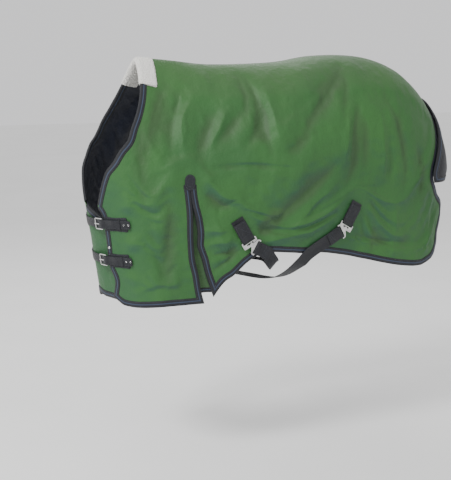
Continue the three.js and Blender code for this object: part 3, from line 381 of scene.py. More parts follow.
def noise_of(tree, where, scale, detail=3.0, rough=0.55):
    made = add_node(tree, "ShaderNodeTexNoise", Scale=scale, Detail=detail, Roughness=rough)
    tree.links.new(where, made.inputs["Vector"])
    return made.outputs["Fac"]


def wave_of(tree, where, pitch, direction="X", distortion=0.0):
    """Threads or ribs with the given pitch in metres."""
    made = add_node(tree, "ShaderNodeTexWave", wave_type="BANDS", bands_direction=direction,
                    Scale=0.314 / pitch, Distortion=distortion)
    tree.links.new(where, made.inputs["Vector"])
    return made.outputs["Fac"]


def maths(tree, operation, a, b):
    made = add_node(tree, "ShaderNodeMath", operation=operation)
    for socket, value in zip(made.inputs, (a, b)):
        if isinstance(value, (int, float)):
            socket.default_value = value
        else:
            tree.links.new(value, socket)
    return made.outputs[0]


def ramp_of(tree, factor, stops):
    made = tree.nodes.new("ShaderNodeValToRGB")
    elements = made.color_ramp.elements
    while len(elements) < len(stops):
        elements.new(0.5)
    for element, (place, colour) in zip(elements, stops):
        element.position = place
        element.color = (*colour, 1)
    tree.links.new(factor, made.inputs["Fac"])
    return made.outputs["Color"]


def blend_of(tree, factor, a, b, blend="MIX"):
    made = add_node(tree, "ShaderNodeMix", data_type="RGBA", blend_type=blend)
    for socket, value in ((made.inputs[0], factor), (made.inputs[6], a), (made.inputs[7], b)):
        if isinstance(value, tuple):
            socket.default_value = (*value, 1)
        elif isinstance(value, float):
            socket.default_value = value
        else:
            tree.links.new(value, socket)
    return made.outputs[2]


def bump_into(tree, bsdf, *layers):
    """Each layer is (height, distance in metres)."""
    normal = None
    for height, distance in layers:
        bump = add_node(tree, "ShaderNodeBump", Strength=1.0, Distance=distance)
        tree.links.new(height, bump.inputs["Height"])
        if normal is not None:
            tree.links.new(normal, bump.inputs["Normal"])
        normal = bump.outputs["Normal"]
    tree.links.new(normal, bsdf.inputs["Normal"])


def outer_cloth():
    """Coated plain-woven polyester: two sets of fine threads, soft creasing and random tone, with painted
    light and shade: teal shade where the cloth faces down, an olive sky reflection where it faces up and
    darker olive shade in the fold valleys.
    """
    material, tree, bsdf = shader("outer_cloth", roughness=0.6, sheen=0.05)
    bsdf.inputs["Sheen Roughness"].default_value = 0.4
    uv, place = cloth_uv(tree), place_of(tree)
    weave = maths(tree, "MULTIPLY", wave_of(tree, uv, 0.0016), wave_of(tree, uv, 0.0016, "Y"))
    creases = noise_of(tree, place, 26, 4, 0.55)
    broad = ramp_of(tree, noise_of(tree, place, 3.2, 2), [
        (0.35, (0.021, 0.100, 0.020)), (0.65, (0.028, 0.122, 0.021))])
    colour = blend_of(tree, maths(tree, "MULTIPLY", weave, 0.2), broad, (0.046, 0.155, 0.034))
    # painted shade: cloth whose normal faces down is tinted teal, standing in for the bluish shade under
    # the belly
    facing = add_node(tree, "ShaderNodeSeparateXYZ")
    tree.links.new(add_node(tree, "ShaderNodeNewGeometry").outputs["Normal"], facing.inputs[0])
    under = add_node(tree, "ShaderNodeMapRange", **{"From Min": 0.02, "From Max": -0.3,
                                                   "To Max": 0.55})
    tree.links.new(facing.outputs["Z"], under.inputs["Value"])
    colour = blend_of(tree, under.outputs[0], colour, (0.008, 0.060, 0.044))
    # painted sky reflection: cloth whose normal faces up is dulled towards olive
    over = add_node(tree, "ShaderNodeMapRange", **{"From Min": 0.25, "From Max": 0.9,
                                                  "To Max": 0.5})
    tree.links.new(facing.outputs["Z"], over.inputs["Value"])
    colour = blend_of(tree, over.outputs[0], colour, (0.038, 0.086, 0.024))
    # painted shade in the folds: where the stored fold height is low, in the valleys, the cloth is mixed
    # towards dark olive
    fold_shade = add_node(tree, "ShaderNodeAttribute", attribute_name="fold_shade").outputs["Fac"]
    depth = ramp_of(tree, fold_shade, [(0.18, (0.55, 0.55, 0.55)), (0.46, (0, 0, 0))])
    colour = blend_of(tree, depth, colour, (0.034, 0.068, 0.026))
    tree.links.new(colour, bsdf.inputs["Base Color"])
    bump_into(tree, bsdf, (creases, 0.0045), (weave, 0.00012))
    return material


def tape_cloth():
    """Ribbed binding tape, near black, with a painted highlight, a paler blue sheen line, along its
    middle.
    """
    material, tree, bsdf = shader("edge_tape", roughness=0.6, sheen=0.04)
    uv = cloth_uv(tree)
    split = add_node(tree, "ShaderNodeSeparateXYZ")
    tree.links.new(uv, split.inputs[0])
    # painted highlight: a paler blue line along the middle of the tape stands for its satin sheen
    painted_highlight = ramp_of(tree, maths(tree, "MULTIPLY", split.outputs["Y"], 1000 / TAPE_WIDTH), [
        (0.0, (0.002, 0.003, 0.006)), (0.36, (0.002, 0.003, 0.007)), (0.44, (0.030, 0.048, 0.090)),
        (0.54, (0.028, 0.044, 0.084)), (0.62, (0.002, 0.003, 0.007)), (1.0, (0.002, 0.003, 0.005))])
    rib = wave_of(tree, uv, 0.0013)
    speckle = noise_of(tree, uv, 900, 2)
    tree.links.new(blend_of(tree, maths(tree, "MULTIPLY", speckle, 0.12), painted_highlight,
                            (0.008, 0.010, 0.018)), bsdf.inputs["Base Color"])
    bump_into(tree, bsdf, (rib, 0.0002), (speckle, 0.0001))
    return material


def plain_tape():
    """The same tape sewn flat as a patch."""
    material, tree, bsdf = shader("patch_cloth", roughness=0.65, sheen=0.04)
    uv = cloth_uv(tree)
    weave = maths(tree, "MULTIPLY", wave_of(tree, uv, 0.0015), wave_of(tree, uv, 0.0015, "Y"))
    tree.links.new(ramp_of(tree, maths(tree, "ADD", weave, noise_of(tree, uv, 300)), [
        (0.3, (0.002, 0.0026, 0.005)), (1.0, (0.007, 0.009, 0.015))]), bsdf.inputs["Base Color"])
    bump_into(tree, bsdf, (weave, 0.00022))
    return material


def webbing_cloth():
    """Woven polypropylene webbing: diagonal ribs on both halves that meet in the middle."""
    material, tree, bsdf = shader("webbing", roughness=0.55, sheen=0.04)
    uv = cloth_uv(tree)
    split = add_node(tree, "ShaderNodeSeparateXYZ")
    tree.links.new(uv, split.inputs[0])
    sideways = maths(tree, "ABSOLUTE", split.outputs["Y"], 0)
    joined = add_node(tree, "ShaderNodeCombineXYZ")
    tree.links.new(maths(tree, "ADD", split.outputs["X"], sideways), joined.inputs[0])
    tree.links.new(split.outputs["Y"], joined.inputs[1])
    chevron = wave_of(tree, joined.outputs[0], 0.0028)
    ribs = wave_of(tree, uv, 0.0021, "Y")
    weave = maths(tree, "MULTIPLY", chevron, maths(tree, "ADD", ribs, 0.5))
    tree.links.new(ramp_of(tree, weave, [(0.1, (0.0015, 0.002, 0.004)), (1.0, (0.009, 0.011, 0.018))]),
                   bsdf.inputs["Base Color"])
    bump_into(tree, bsdf, (weave, 0.0005))
    return material


def lining_cloth():
    material, tree, bsdf = shader("lining_cloth", roughness=0.5, sheen=0.03)
    uv, place = cloth_uv(tree), place_of(tree)
    weave = maths(tree, "MULTIPLY", wave_of(tree, uv, 0.0012), wave_of(tree, uv, 0.0012, "Y"))
    tree.links.new(ramp_of(tree, noise_of(tree, place, 6), [
        (0.3, (0.004, 0.006, 0.014)), (0.7, (0.008, 0.011, 0.024))]), bsdf.inputs["Base Color"])
    bump_into(tree, bsdf, (noise_of(tree, place, 34, 3), 0.003), (weave, 0.0001))
    return material


def flap_cloth():
    material, tree, bsdf = shader("flap_cloth", roughness=0.6, sheen=0.04)
    uv, place = cloth_uv(tree), place_of(tree)
    weave = maths(tree, "MULTIPLY", wave_of(tree, uv, 0.0015), wave_of(tree, uv, 0.0015, "Y"))
    tree.links.new(ramp_of(tree, noise_of(tree, place, 9), [
        (0.3, (0.002, 0.0025, 0.006)), (0.7, (0.004, 0.005, 0.011))]), bsdf.inputs["Base Color"])
    bump_into(tree, bsdf, (noise_of(tree, place, 30, 3), 0.003), (weave, 0.0001))
    return material


def fleece_pile():
    material, tree, bsdf = shader("fleece_pile", roughness=0.95, sheen=0.6)
    place = place_of(tree)
    curls = noise_of(tree, place, 240, 4, 0.7)
    tree.links.new(ramp_of(tree, curls, [(0.3, (0.66, 0.64, 0.58)), (0.62, (0.90, 0.89, 0.85))]),
                   bsdf.inputs["Base Color"])
    bump_into(tree, bsdf, (curls, 0.004), (noise_of(tree, place, 900, 2), 0.001))
    return material


def nickel():
    """Bright plate with a fine grain and duller, handled patches."""
    material, tree, bsdf = shader("nickel_plate", roughness=0.22, metallic=1.0)
    place = place_of(tree)
    handled = noise_of(tree, place, 60, 3)
    tree.links.new(ramp_of(tree, handled, [(0.3, (0.50, 0.50, 0.50)), (0.7, (0.74, 0.74, 0.73))]),
                   bsdf.inputs["Base Color"])
    rough = add_node(tree, "ShaderNodeMapRange", **{"To Min": 0.14, "To Max": 0.36})
    tree.links.new(handled, rough.inputs["Value"])
    tree.links.new(rough.outputs[0], bsdf.inputs["Roughness"])
    bump_into(tree, bsdf, (noise_of(tree, place, 500, 2), 0.00012))
    return material


def thread():
    material, tree, bsdf = shader("sewing_thread", roughness=0.5, sheen=0.3)
    twist = wave_of(tree, place_of(tree), 0.0007, "DIAGONAL")
    tree.links.new(ramp_of(tree, twist, [(0.0, (0.010, 0.013, 0.022)), (1.0, (0.032, 0.040, 0.060))]),
                   bsdf.inputs["Base Color"])
    return material


def floor_paint():
    material, tree, bsdf = shader("floor_paint", roughness=0.85)
    tree.links.new(ramp_of(tree, noise_of(tree, place_of(tree), 1.5, 2), [
        (0.3, (0.90, 0.90, 0.89)), (0.7, (0.93, 0.93, 0.92))]), bsdf.inputs["Base Color"])
    return material


OUTER, TAPE, PATCH, STRAP = outer_cloth(), tape_cloth(), plain_tape(), webbing_cloth()
LINING, FLAP_CLOTH, FLEECE_PILE, NICKEL, THREAD = (
    lining_cloth(), flap_cloth(), fleece_pile(), nickel(), thread())


# ------------------------------------------------------------------ the two sides
ROOF_ROWS, SIDE_ROWS = ((74, 72))
COLUMN_STEP = 7.5


def row_shares(slit_share):
    """Shares of the way from spine to hem; row ROOF_ROWS lies on the top of the slit."""
    upper = (np.arange(ROOF_ROWS + 1) / ROOF_ROWS) ** 1.7 * slit_share
    lower = slit_share + np.arange(1, SIDE_ROWS + 1) / SIDE_ROWS * (1 - slit_share)
    return np.concatenate([upper, lower])


def half_pattern(side):
    """Places (p, z) over the front and the rear part of one side, as grids [column, row]."""
    closure = near_closure if side == NEAR else off_closure
    closure_p = NEAR_CLOSURE_P if side == NEAR else OFF_CLOSURE_P
    slit_height = ridge(plan(np.array(float(slit_front(0.0))))[0])
    parts = []
    for which in ("front", "rear"):
        slit, hem_at_slit = (slit_front, -871) if which == "front" else (slit_rear, -846)
        share = row_shares((slit_height - SLIT_TOP) / (slit_height - hem_at_slit))
        slit_z = lerp(slit_height, hem_at_slit, share)
        slit_p = slit(slit_z)
        if which == "front":
            edge_z = lerp(ridge(plan(np.array(float(COLLAR_P)))[0]), front_hem(closure_p), share)
            edge_p = np.where(edge_z > COLLAR_FOOT, collar_edge(edge_z), closure(edge_z))
            left, right, hem = (edge_p, COLLAR_P, closure_p), (slit_p, slit(0.0), slit(-871.0)), front_hem
        else:
            edge_p = rear_edge(lerp(-150, -804, share))
            meeting = np.where(np.arange(len(share)) <= ROOF_ROWS, slit_front(slit_z), slit_p)
            left = (meeting, slit_front(0.0), slit(-846.0))
            right, hem = (edge_p, DOCK_P, rear_edge(-804.0)), rear_hem
        span = np.mean(right[0]) - np.mean(left[0])
        s = np.linspace(0, 1, int(span / COLUMN_STEP) + 1)[:, None]
        p = lerp(left[0][None], right[0][None], s)
        top = ridge(plan(lerp(left[1], right[1], s))[0])
        bottom = hem(lerp(left[2], right[2], s))
        parts.append((p, lerp(top, bottom, share[None])))
    return parts


def side_mesh(side, name, h, folds=1.0):
    (fp, fz), (rp, rz) = half_pattern(side)
    front = np.arange(fp.size).reshape(fp.shape)
    rear = fp.size + np.arange(rp.size).reshape(rp.shape)
    rear[0, : ROOF_ROWS + 1] = front[-1, : ROOF_ROWS + 1]
    p, z = np.concatenate([fp.ravel(), rp.ravel()]), np.concatenate([fz.ravel(), rz.ravel()])
    q = root_at(p, z)
    points = on_cloth(side, p, q, h, folds)
    spine = np.concatenate([front[:, 0], rear[:, 0]])
    points[spine, 1] = side * 0.25
    faces = grid_faces(front, side == NEAR) + grid_faces(rear, side == NEAR)
    used = sorted({i for face in faces for i in face})
    number = {old: new for new, old in enumerate(used)}
    faces = [[number[i] for i in face] for face in faces]
    uv = np.stack([p, z], axis=-1)[used] * MM
    made = new_mesh(name, points[used], faces, uv, smooth=None)
    # fold height kept on the mesh for the painted shade in the fold valleys
    fold_shade = made.data.attributes.new("fold_shade", "FLOAT", "POINT")
    fold_shade.data.foreach_set("value", np.clip(0.5 + fold_height(side, p, q)[used] / 26, 0, 1))
    return made


def freedom(side, p, q):
    """0 where the cloth is sewn, strapped or lies over the back, 1 in the open."""
    z = ridge(plan(p)[0]) - q * q
    loose = ease((q * q - 60) / 120)
    for line in HELD[side]:
        d, _ = to_line(p, z, line)
        loose = np.minimum(loose, ease((d - 30) / 60))
    closure = near_closure if side == NEAR else off_closure
    front_edge = np.where(z > COLLAR_FOOT, collar_edge(z), closure(z))
    gaps = [p - front_edge, rear_edge(z) - p, z - np.where(p < 490, front_hem(p), rear_hem(p))]
    low = z < SLIT_TOP + 30
    gaps.append(np.where(low, np.abs(p - (slit_front(z) + slit_rear(z)) / 2) - 20, 999))
    for gap in gaps:
        loose = np.minimum(loose, ease((gap - TAPE_WIDTH - 6) / 60))
    return loose * ease((np.abs(p) - 150) / 120)


SLACK, SLACK_FRAMES, MOST_SLACK = 0.022, 24, 9


def let_it_hang(side, outer, lining):
    """The cloth is cut a little bigger than the body it covers and settles under gravity."""
    uv = {}
    layer = outer.data.uv_layers["cloth"].data
    for loop in outer.data.loops:
        uv[loop.vertex_index] = layer[loop.index].uv[:]
    flat = np.array([uv[i] for i in range(len(uv))]) / MM
    loose = freedom(side, flat[:, 0], root_at(flat[:, 0], flat[:, 1]))
    count = len(outer.data.vertices)
    before = np.empty(count * 3)
    outer.data.vertices.foreach_get("co", before)
    pins = outer.vertex_groups.new(name="sewn")
    for i, share in enumerate(1 - loose):
        pins.add([i], float(share), "REPLACE")
    cloth = outer.modifiers.new("hang", "CLOTH")
    cloth.settings.vertex_group_mass = "sewn"
    cloth.settings.shrink_min = -SLACK
    cloth.settings.quality = 4
    cloth.settings.mass = 0.3
    cloth.settings.tension_stiffness = 12
    cloth.settings.compression_stiffness = 12
    cloth.settings.shear_stiffness = 4
    cloth.settings.bending_stiffness = 1.2
    cloth.settings.air_damping = 4
    cloth.point_cache.frame_end = SLACK_FRAMES
    for moment in range(1, SLACK_FRAMES + 1):
        bpy.context.scene.frame_set(moment)
    hung = outer.evaluated_get(bpy.context.evaluated_depsgraph_get()).to_mesh()
    after = np.empty(count * 3)
    hung.vertices.foreach_get("co", after)
    outer.modifiers.remove(cloth)
    outer.vertex_groups.remove(pins)
    bpy.context.scene.frame_set(1)
    normals = np.empty(count * 3)
    outer.data.vertices.foreach_get("normal", normals)
    normals = normals.reshape(-1, 3)
    moved = np.sum((after - before).reshape(-1, 3) * normals, axis=1)
    moved = MOST_SLACK * MM * np.tanh(moved / (MOST_SLACK * MM)) * loose
    for obj, share in ((outer, 1.0), (lining, 0.9)):
        place = np.empty(count * 3)
        obj.data.vertices.foreach_get("co", place)
        place = place.reshape(-1, 3) + normals * (moved * share)[:, None]
        obj.data.vertices.foreach_set("co", place.ravel())
        obj.data.update()
    print(outer.name, "hung; moved", round(float(np.abs(moved).max()) * 1000, 1), "mm at most,",
          round(float(np.abs(moved).mean()) * 1000, 2), "mm on average")


def sides():
    made = {}
    for side, word in SIDES:
        outer = piece(side_mesh(side, f"{word}_outer_cloth", 0), OUTER,
                      replaces=[f"{word}_outer_panel", f"{word}_fill_panel"])
        lining = piece(side_mesh(side, f"{word}_lining_cloth", 0.8 - PLIES, 0.9), LINING,
                       replaces=[f"{word}_lining_panel"])
        let_it_hang(side, outer, lining)
        solidify(outer, 1.0)
        solidify(lining, 0.7)
        made[side] = (outer, lining)
    return made


# ------------------------------------------------------------------ edge tape and stitches
def cloth_surface(side):
    return lambda p, q, h: on_cloth(side, p, q, h)


def edge_run(surface, u, v, inward):
    """For a run of places on an edge, the step (du, dv) that goes 1 mm straight in."""
    u, v = np.asarray(u, float), np.asarray(v, float)
    here = surface(u, v, 0.0)
    du, dv = 1.0, 0.05
    along_u = (surface(u + du, v, 0.0) - surface(u - du, v, 0.0)) / (2 * du)
    along_v = (surface(u, v + dv, 0.0) - surface(u, np.maximum(v - dv, 0.0) if np.all(v >= 0)
                                               else v - dv, 0.0))
    gap_v = np.where(v >= 0, v + dv - np.maximum(v - dv, 0.0), 2 * dv)[:, None] \
        if np.all(v >= 0) else 2 * dv
    along_v = along_v / gap_v
    tangent = unit(np.gradient(here, axis=0))
    normal = unit(np.cross(along_u, along_v))
    straight = unit(np.cross(normal, tangent))
    if np.sum(straight * (along_u * inward[0] + along_v * inward[1])) < 0:
        straight = -straight
    uu, uv_, vv = (np.sum(a * b, axis=-1) for a, b in (
        (along_u, along_u), (along_u, along_v), (along_v, along_v)))
    su, sv = np.sum(straight * along_u, axis=-1), np.sum(straight * along_v, axis=-1)
    det = uu * vv - uv_ * uv_
    return np.stack([(su * vv - sv * uv_) / det, (sv * uu - su * uv_) / det], axis=-1), tangent


def joined_runs(surface, runs, width):
    """Runs [(u, v, inward)] end to end, their ways in turned to the mitre at each corner."""
    places, ways = [], []
    steps, tangents = zip(*(edge_run(surface, *run) for run in runs))
    turns = [float(np.dot(a[-1], b[0])) for a, b in zip(tangents[:-1], tangents[1:])]
    for k, ((u, v, _), way) in enumerate(zip(runs, steps)):
        u, v, way = np.asarray(u, float), np.asarray(v, float), way.copy()
        here = surface(u, v, 0.0)
        walked = np.concatenate([[0], np.cumsum(np.linalg.norm(np.diff(here, axis=0), axis=1))])
        if k:
            near = np.clip(1 - walked / width, 0, 1)[:, None]
            way = (way + near * steps[k - 1][-1]) / (1 + near * turns[k - 1])
        if k < len(runs) - 1:
            near = np.clip(1 - (walked[-1] - walked) / width, 0, 1)[:, None]
            way = (way + near * steps[k + 1][0]) / (1 + near * turns[k])
        start = 1 if k else 0
        places.append(np.stack([u, v], axis=-1)[start:])
        ways.append(way[start:])
    return np.concatenate(places), np.concatenate(ways)


def tape_section(width, plies, proud=1.9):
    """Outline of a tape folded over an edge, as (distance in, height), counter-clockwise."""
    low = -plies - proud
    return [(width, -plies / 2), (width, 0.3), (width - 0.8, proud * 0.75), (width * 0.7, proud),
            (width * 0.35, proud + 0.35), (1.5, proud), (-1.2, proud * 0.4), (-2.3, -plies * 0.25),
            (-2.3, -plies * 0.75), (-1.2, low + proud * 0.6), (1.5, low), (width * 0.5, low - 0.3),
            (width - 0.8, low + 0.4), (width, -plies - 0.3)]


def tape_along(name, surface, runs, width=TAPE_WIDTH, plies=PLIES):
    places, ways = joined_runs(surface, runs, width)
    outline = np.array(tape_section(width, plies))
    sections = np.stack([
        surface(places[:, 0] + ways[:, 0] * d, places[:, 1] + ways[:, 1] * d, h)
        for d, h in outline], axis=1)
    return loft(name, sections, uv_across=np.clip(outline[:, 0], 0, width), smooth=60)


STITCH, STITCH_PITCH, STITCH_RADIUS = 3.2, 4.6, 0.42


def stitches(name, lines, body="rug"):
    """Short sewn threads along lines of (points, normals), all in one piece."""
    ring, rows = 6, (-0.5, -0.34, 0.0, 0.34, 0.5)
    swell = (0.25, 0.85, 1.0, 0.85, 0.25)
    points, faces = [], []
    for line, normal in lines:
        line, normal = np.asarray(line, float), np.asarray(normal, float)
        walked = np.concatenate([[0], np.cumsum(np.linalg.norm(np.diff(line, axis=0), axis=1))])
        count = max(int(walked[-1] / STITCH_PITCH), 1)
        stops = (np.arange(count) + 0.5) * walked[-1] / count
        centre = np.stack([np.interp(stops, walked, line[:, k]) for k in range(3)], axis=-1)
        ahead = np.stack([np.interp(stops + 1, walked, line[:, k]) for k in range(3)], axis=-1)
        behind = np.stack([np.interp(stops - 1, walked, line[:, k]) for k in range(3)], axis=-1)
        up = unit(np.stack([np.interp(stops, walked, normal[:, k]) for k in range(3)], axis=-1))
        way = unit(ahead - behind)
        across = unit(np.cross(way, up))
        for c, w, a, n in zip(centre, way, across, up):
            base = len(points)
            for t, fat in zip(rows, swell):
                for k in range(ring):
                    angle = 2 * math.pi * k / ring
                    points.append(c + w * t * STITCH + STITCH_RADIUS * fat * (
                        a * math.cos(angle) + n * 0.8 * math.sin(angle)))
            for r in range(len(rows) - 1):
                for k in range(ring):
                    e = (k + 1) % ring
                    faces.append([base + r * ring + k, base + r * ring + e,
                                  base + (r + 1) * ring + e, base + (r + 1) * ring + k])
            faces.append([base + k for k in reversed(range(ring))])
            faces.append([base + (len(rows) - 1) * ring + k for k in range(ring)])
    return piece(new_mesh(name, points, faces, smooth=None), THREAD, body)


def seam_line(surface, places, ways, d, h):
    u, v = places[:, 0] + ways[:, 0] * d, places[:, 1] + ways[:, 1] * d
    line, lower = surface(u, v, h), surface(u, v, h - 1.0)
    return line, line - lower


RUN_STEP = 6


def down_column(edge, z0, z1):
    """A run of places (p, q) down an edge given as p at each height."""
    z = np.linspace(z0, z1, max(int(abs(z1 - z0) / RUN_STEP), 2) + 1)
    p = edge(z)
    return p, root_at(p, z)


def along_hem(hem, p0, p1):
    p = np.linspace(p0, p1, max(int(abs(p1 - p0) / RUN_STEP), 2) + 1)
    return p, root_at(p, hem(p))


def front_runs(side):
    closure = near_closure if side == NEAR else off_closure
    closure_p = NEAR_CLOSURE_P if side == NEAR else OFF_CLOSURE_P
    top = COLLAR_FOOT - 4
    return [
        (*down_column(closure, top, float(front_hem(closure_p))), (1, 0)),
        (*along_hem(front_hem, closure_p, 472), (0, -1)),
        (*down_column(slit_front, -871, SLIT_TOP - 4), (-1, 0)),
    ]


def rear_runs(side):
    return [
        (*down_column(slit_rear, SLIT_TOP - 4, -846), (1, 0)),
        (*along_hem(rear_hem, 510, 1430), (0, -1)),
        (*down_column(rear_edge, -804, -158), (-1, 0)),
    ]


def collar_places():
    """The collar from the foot on the near side, over the withers, to the off side."""
    top = float(ridge(plan(np.array(float(COLLAR_P)))[0]))
    q = np.linspace(0.8, math.sqrt(top - COLLAR_FOOT - 8), 110)
    z = top - q * q
    p = collar_edge(z)
    return p, root_at(p, z)


def over_withers(outline, reach=None):
    """Sections over the collar on both sides in one run; reach limits them to the top."""
    p, q = collar_places()
    keep = slice(None) if reach is None else q * q < reach
    p, q = p[keep], q[keep]
    halves = []
    for side in (NEAR, OFF):
        surface = cloth_surface(side)
        way, _ = edge_run(surface, p, q, (1, 0))
        rows = np.stack([surface(p + way[:, 0] * d, np.maximum(q + way[:, 1] * d, 0), h)
                         for d, h in outline], axis=1)
        halves.append(rows)
    return np.concatenate([halves[0][::-1], halves[1]])


def bindings():
    lines = []
    for side, word in SIDES:
        surface = cloth_surface(side)
        for part, runs in (("front", front_runs(side)), ("rear", rear_runs(side))):
            name = f"{word}_{part}_binding"
            piece(tape_along(f"{name}_tape", surface, runs), TAPE, replaces=[name])
            places, ways = joined_runs(surface, runs, TAPE_WIDTH)
            lines.append(seam_line(surface, places, ways, TAPE_WIDTH - 3.5, 1.9))
    outline = tape_section(TAPE_WIDTH, PLIES)
    widths = np.clip([d for d, _ in outline], 0, TAPE_WIDTH)
    collar = loft("collar_binding_tape", over_withers(outline), uv_across=widths, smooth=60)
    piece(collar, TAPE, replaces=["collar_binding"])
    p, q = collar_places()
    for side in (NEAR, OFF):
        surface = cloth_surface(side)
        ways, _ = edge_run(surface, p, q, (1, 0))
        places, ways = np.stack([p, q], axis=-1)[12:], ways[12:]
        lines.append(seam_line(surface, places, ways, TAPE_WIDTH - 3.5, 1.9))
    stitches("binding_stitches", lines)


# ------------------------------------------------------------------ withers and spine
FLEECE_REACH, FLEECE_THICK, FLEECE_DROP = 62, 5.0, 96


def wither_fleece():
    plies = PLIES + 2 * TAPE_PROUD
    low = -PLIES - TAPE_PROUD - FLEECE_THICK
    top = TAPE_PROUD + FLEECE_THICK
    outline = [(FLEECE_REACH, -plies / 2), (FLEECE_REACH, 1.0), (FLEECE_REACH - 3, top * 0.75)]
    outline += [(d, top + 0.6) for d in np.linspace(FLEECE_REACH - 8, 4, 14)]
    outline += [(-3.5, top * 0.6), (-7.0, 0), (-7.8, -PLIES / 2), (-7.0, -PLIES),
                (-3.5, low + top * 0.4)]
    outline += [(d, low - 0.4) for d in np.linspace(4, FLEECE_REACH - 8, 14)]
    outline += [(FLEECE_REACH - 3, low + 2), (FLEECE_REACH, -PLIES - 0.8)]
    fleece = loft("wither_fleece_pad", over_withers(outline, FLEECE_DROP), smooth=None)
    finer = fleece.modifiers.new("finer", "SUBSURF")
    finer.levels = finer.render_levels = 2
    clumps = bpy.data.textures.new("fleece_clumps", "CLOUDS")
    clumps.noise_scale = 0.006
    clumps.noise_depth = 3
    pile = fleece.modifiers.new("pile", "DISPLACE")
    pile.texture, pile.texture_coords = clumps, "LOCAL"
    pile.strength, pile.mid_level = 0.0045, 0.55
    piece(fleece, FLEECE_PILE, replaces=["wither_fleece"])


SEAM_TAPE_HALF = 20


def spine_seam():
    """Tape that covers the spine seam inside, and the topstitching beside the seam outside."""
    p = np.arange(470, 1560, 8.0)
    rows = []
    for side, way in ((NEAR, 1), (OFF, -1)):
        q = root_at(p, ridge(plan(p)[0]) - 0.0)
        ladder = []
        for reach in (SEAM_TAPE_HALF, SEAM_TAPE_HALF / 2)[::way]:
            depth = reach * reach / 60.0
            ladder.append(on_cloth(side, p, np.sqrt(depth) + q, -PLIES - 2.2))
        rows += ladder
        if side == NEAR:
            rows.append(on_cloth(NEAR, p, q, -PLIES - 2.2) * [1, 0, 1])
    grid = np.stack(rows)
    grid[:, :, 1] = np.linspace(-SEAM_TAPE_HALF, SEAM_TAPE_HALF, len(rows))[:, None]
    index = np.arange(grid.shape[0] * grid.shape[1]).reshape(grid.shape[:2])
    uv = np.stack(np.meshgrid(np.linspace(0, TAPE_WIDTH, len(rows)) * MM, p * MM, indexing="ij"),
                  axis=-1)[..., ::-1]
    tape = piece(new_mesh("spine_inner_tape", grid, grid_faces(index), uv), TAPE,
                 replaces=["spine_seam_tape"])
    solidify(tape, 1.0, 0)
    lines = []
    for side in (NEAR, OFF):
        q = np.full(p.shape, 0.75)
        line = on_cloth(side, p, q, 0.35)
        line[:, 1] = side * 5.0
        lines.append((line, np.tile([0.0, 0.0, 1.0], (len(p), 1))))
    stitches("spine_stitches", lines)


# ------------------------------------------------------------------ shoulder gussets
GUSSET_H = -PLIES - TAPE_PROUD - 3
GUSSET_TOP, GUSSET_HEM, GUSSET_MARGIN = -452, -832, 16
TAB_WIDTH, TAB_HEIGHT, TAB_TOP = 38, 58, -398


def gussets():
    for side, word in SIDES:
        def cloth(u, v, h, side=side):
            """u from 0 to 1 across the gusset and v the height."""
            p = lerp(slit_front(v) - GUSSET_MARGIN, slit_rear(v) + GUSSET_MARGIN, u)
            pleat = 2.2 * np.sin(3 * math.pi * u) * ease((GUSSET_TOP - v) / 120)
            return on_cloth(side, p, root_at(p, v), GUSSET_H + h + pleat)
        u, v = np.meshgrid(np.linspace(0, 1, 21), np.linspace(GUSSET_TOP, GUSSET_HEM, 72), indexing="ij")
        index = np.arange(u.size).reshape(u.shape)
        uv = np.stack([u * 0.09, v * MM], axis=-1)
        sheet = new_mesh(f"{word}_gusset_cloth", cloth(u, v, 0.0), grid_faces(index, side == NEAR), uv,
                         smooth=None)
        piece(sheet, OUTER, replaces=[f"{word}_shoulder_gusset"])
        solidify(sheet, 1.0)
        across = np.linspace(0.06, 0.94, 16)
        outline = np.array(tape_section(16, 1.2, 1.5))
        sections = np.stack([cloth(across, np.full(16, GUSSET_HEM + d), h) for d, h in outline], axis=1)
        hem = loft(f"{word}_gusset_hem_tape", sections, uv_across=np.clip(outline[:, 0], 0, 16) * 1.3)
        piece(hem, TAPE, replaces=[f"{word}_gusset_binding"])
        gusset_tab(side, word)


def rounded_outline(width, height, radius, steps=8):
    """Corner-rounded rectangle about its middle, counter-clockwise."""
    points = []
    corners = ((1, 1, 0), (-1, 1, 1), (-1, -1, 2), (1, -1, 3))
    for sx, sy, quarter in corners:
        for k in range(steps + 1):
            angle = (quarter + k / steps) * QUARTER
            points.append((sx * (width / 2 - radius) + radius * math.cos(angle),
                           sy * (height / 2 - radius) + radius * math.sin(angle)))
    return np.array(points)


def patch_on(name, place, outline, bottom, thickness, material, body="rug", replaces=()):
    """A sewn patch; place(x, y, h) puts its flat outline on the rug, its rim sewn down."""
    rings = [(1.0, bottom), (1.0, bottom + 0.3 * thickness), (0.975, bottom + 0.8 * thickness),
             (0.93, bottom + thickness * 0.9), (0.86, bottom + thickness), (0.6, bottom + thickness),
             (0.3, bottom + thickness)]
    ring = len(outline)
    points, uv = [], []
    for share, h in rings:
        flat = outline * share
        points.append(place(flat[:, 0], flat[:, 1], h))
        uv.append(flat)
    middle = np.zeros((1, 2))
    points.append(place(middle[:, 0], middle[:, 1], bottom + thickness))
    points.append(place(middle[:, 0], middle[:, 1], bottom))
    uv += [middle, middle]
    index = np.arange(len(rings) * ring).reshape(len(rings), ring)
    faces = grid_faces(np.concatenate([index, index[:, :1]], axis=1))
    crown, base = len(rings) * ring, len(rings) * ring + 1
    for k in range(ring):
        e = (k + 1) % ring
        faces.append([index[-1, k], index[-1, e], crown])
        faces.append([index[0, e], index[0, k], base])
    points = np.concatenate(points)
    volume = sum(np.dot(points[f[0]], np.cross(points[f[1]], points[f[-1]])) for f in faces)
    if volume < 0:
        faces = [face[::-1] for face in faces]
    made = new_mesh(name, points, faces, np.concatenate(uv) * MM, smooth=60)
    return piece(made, material, body, replaces)


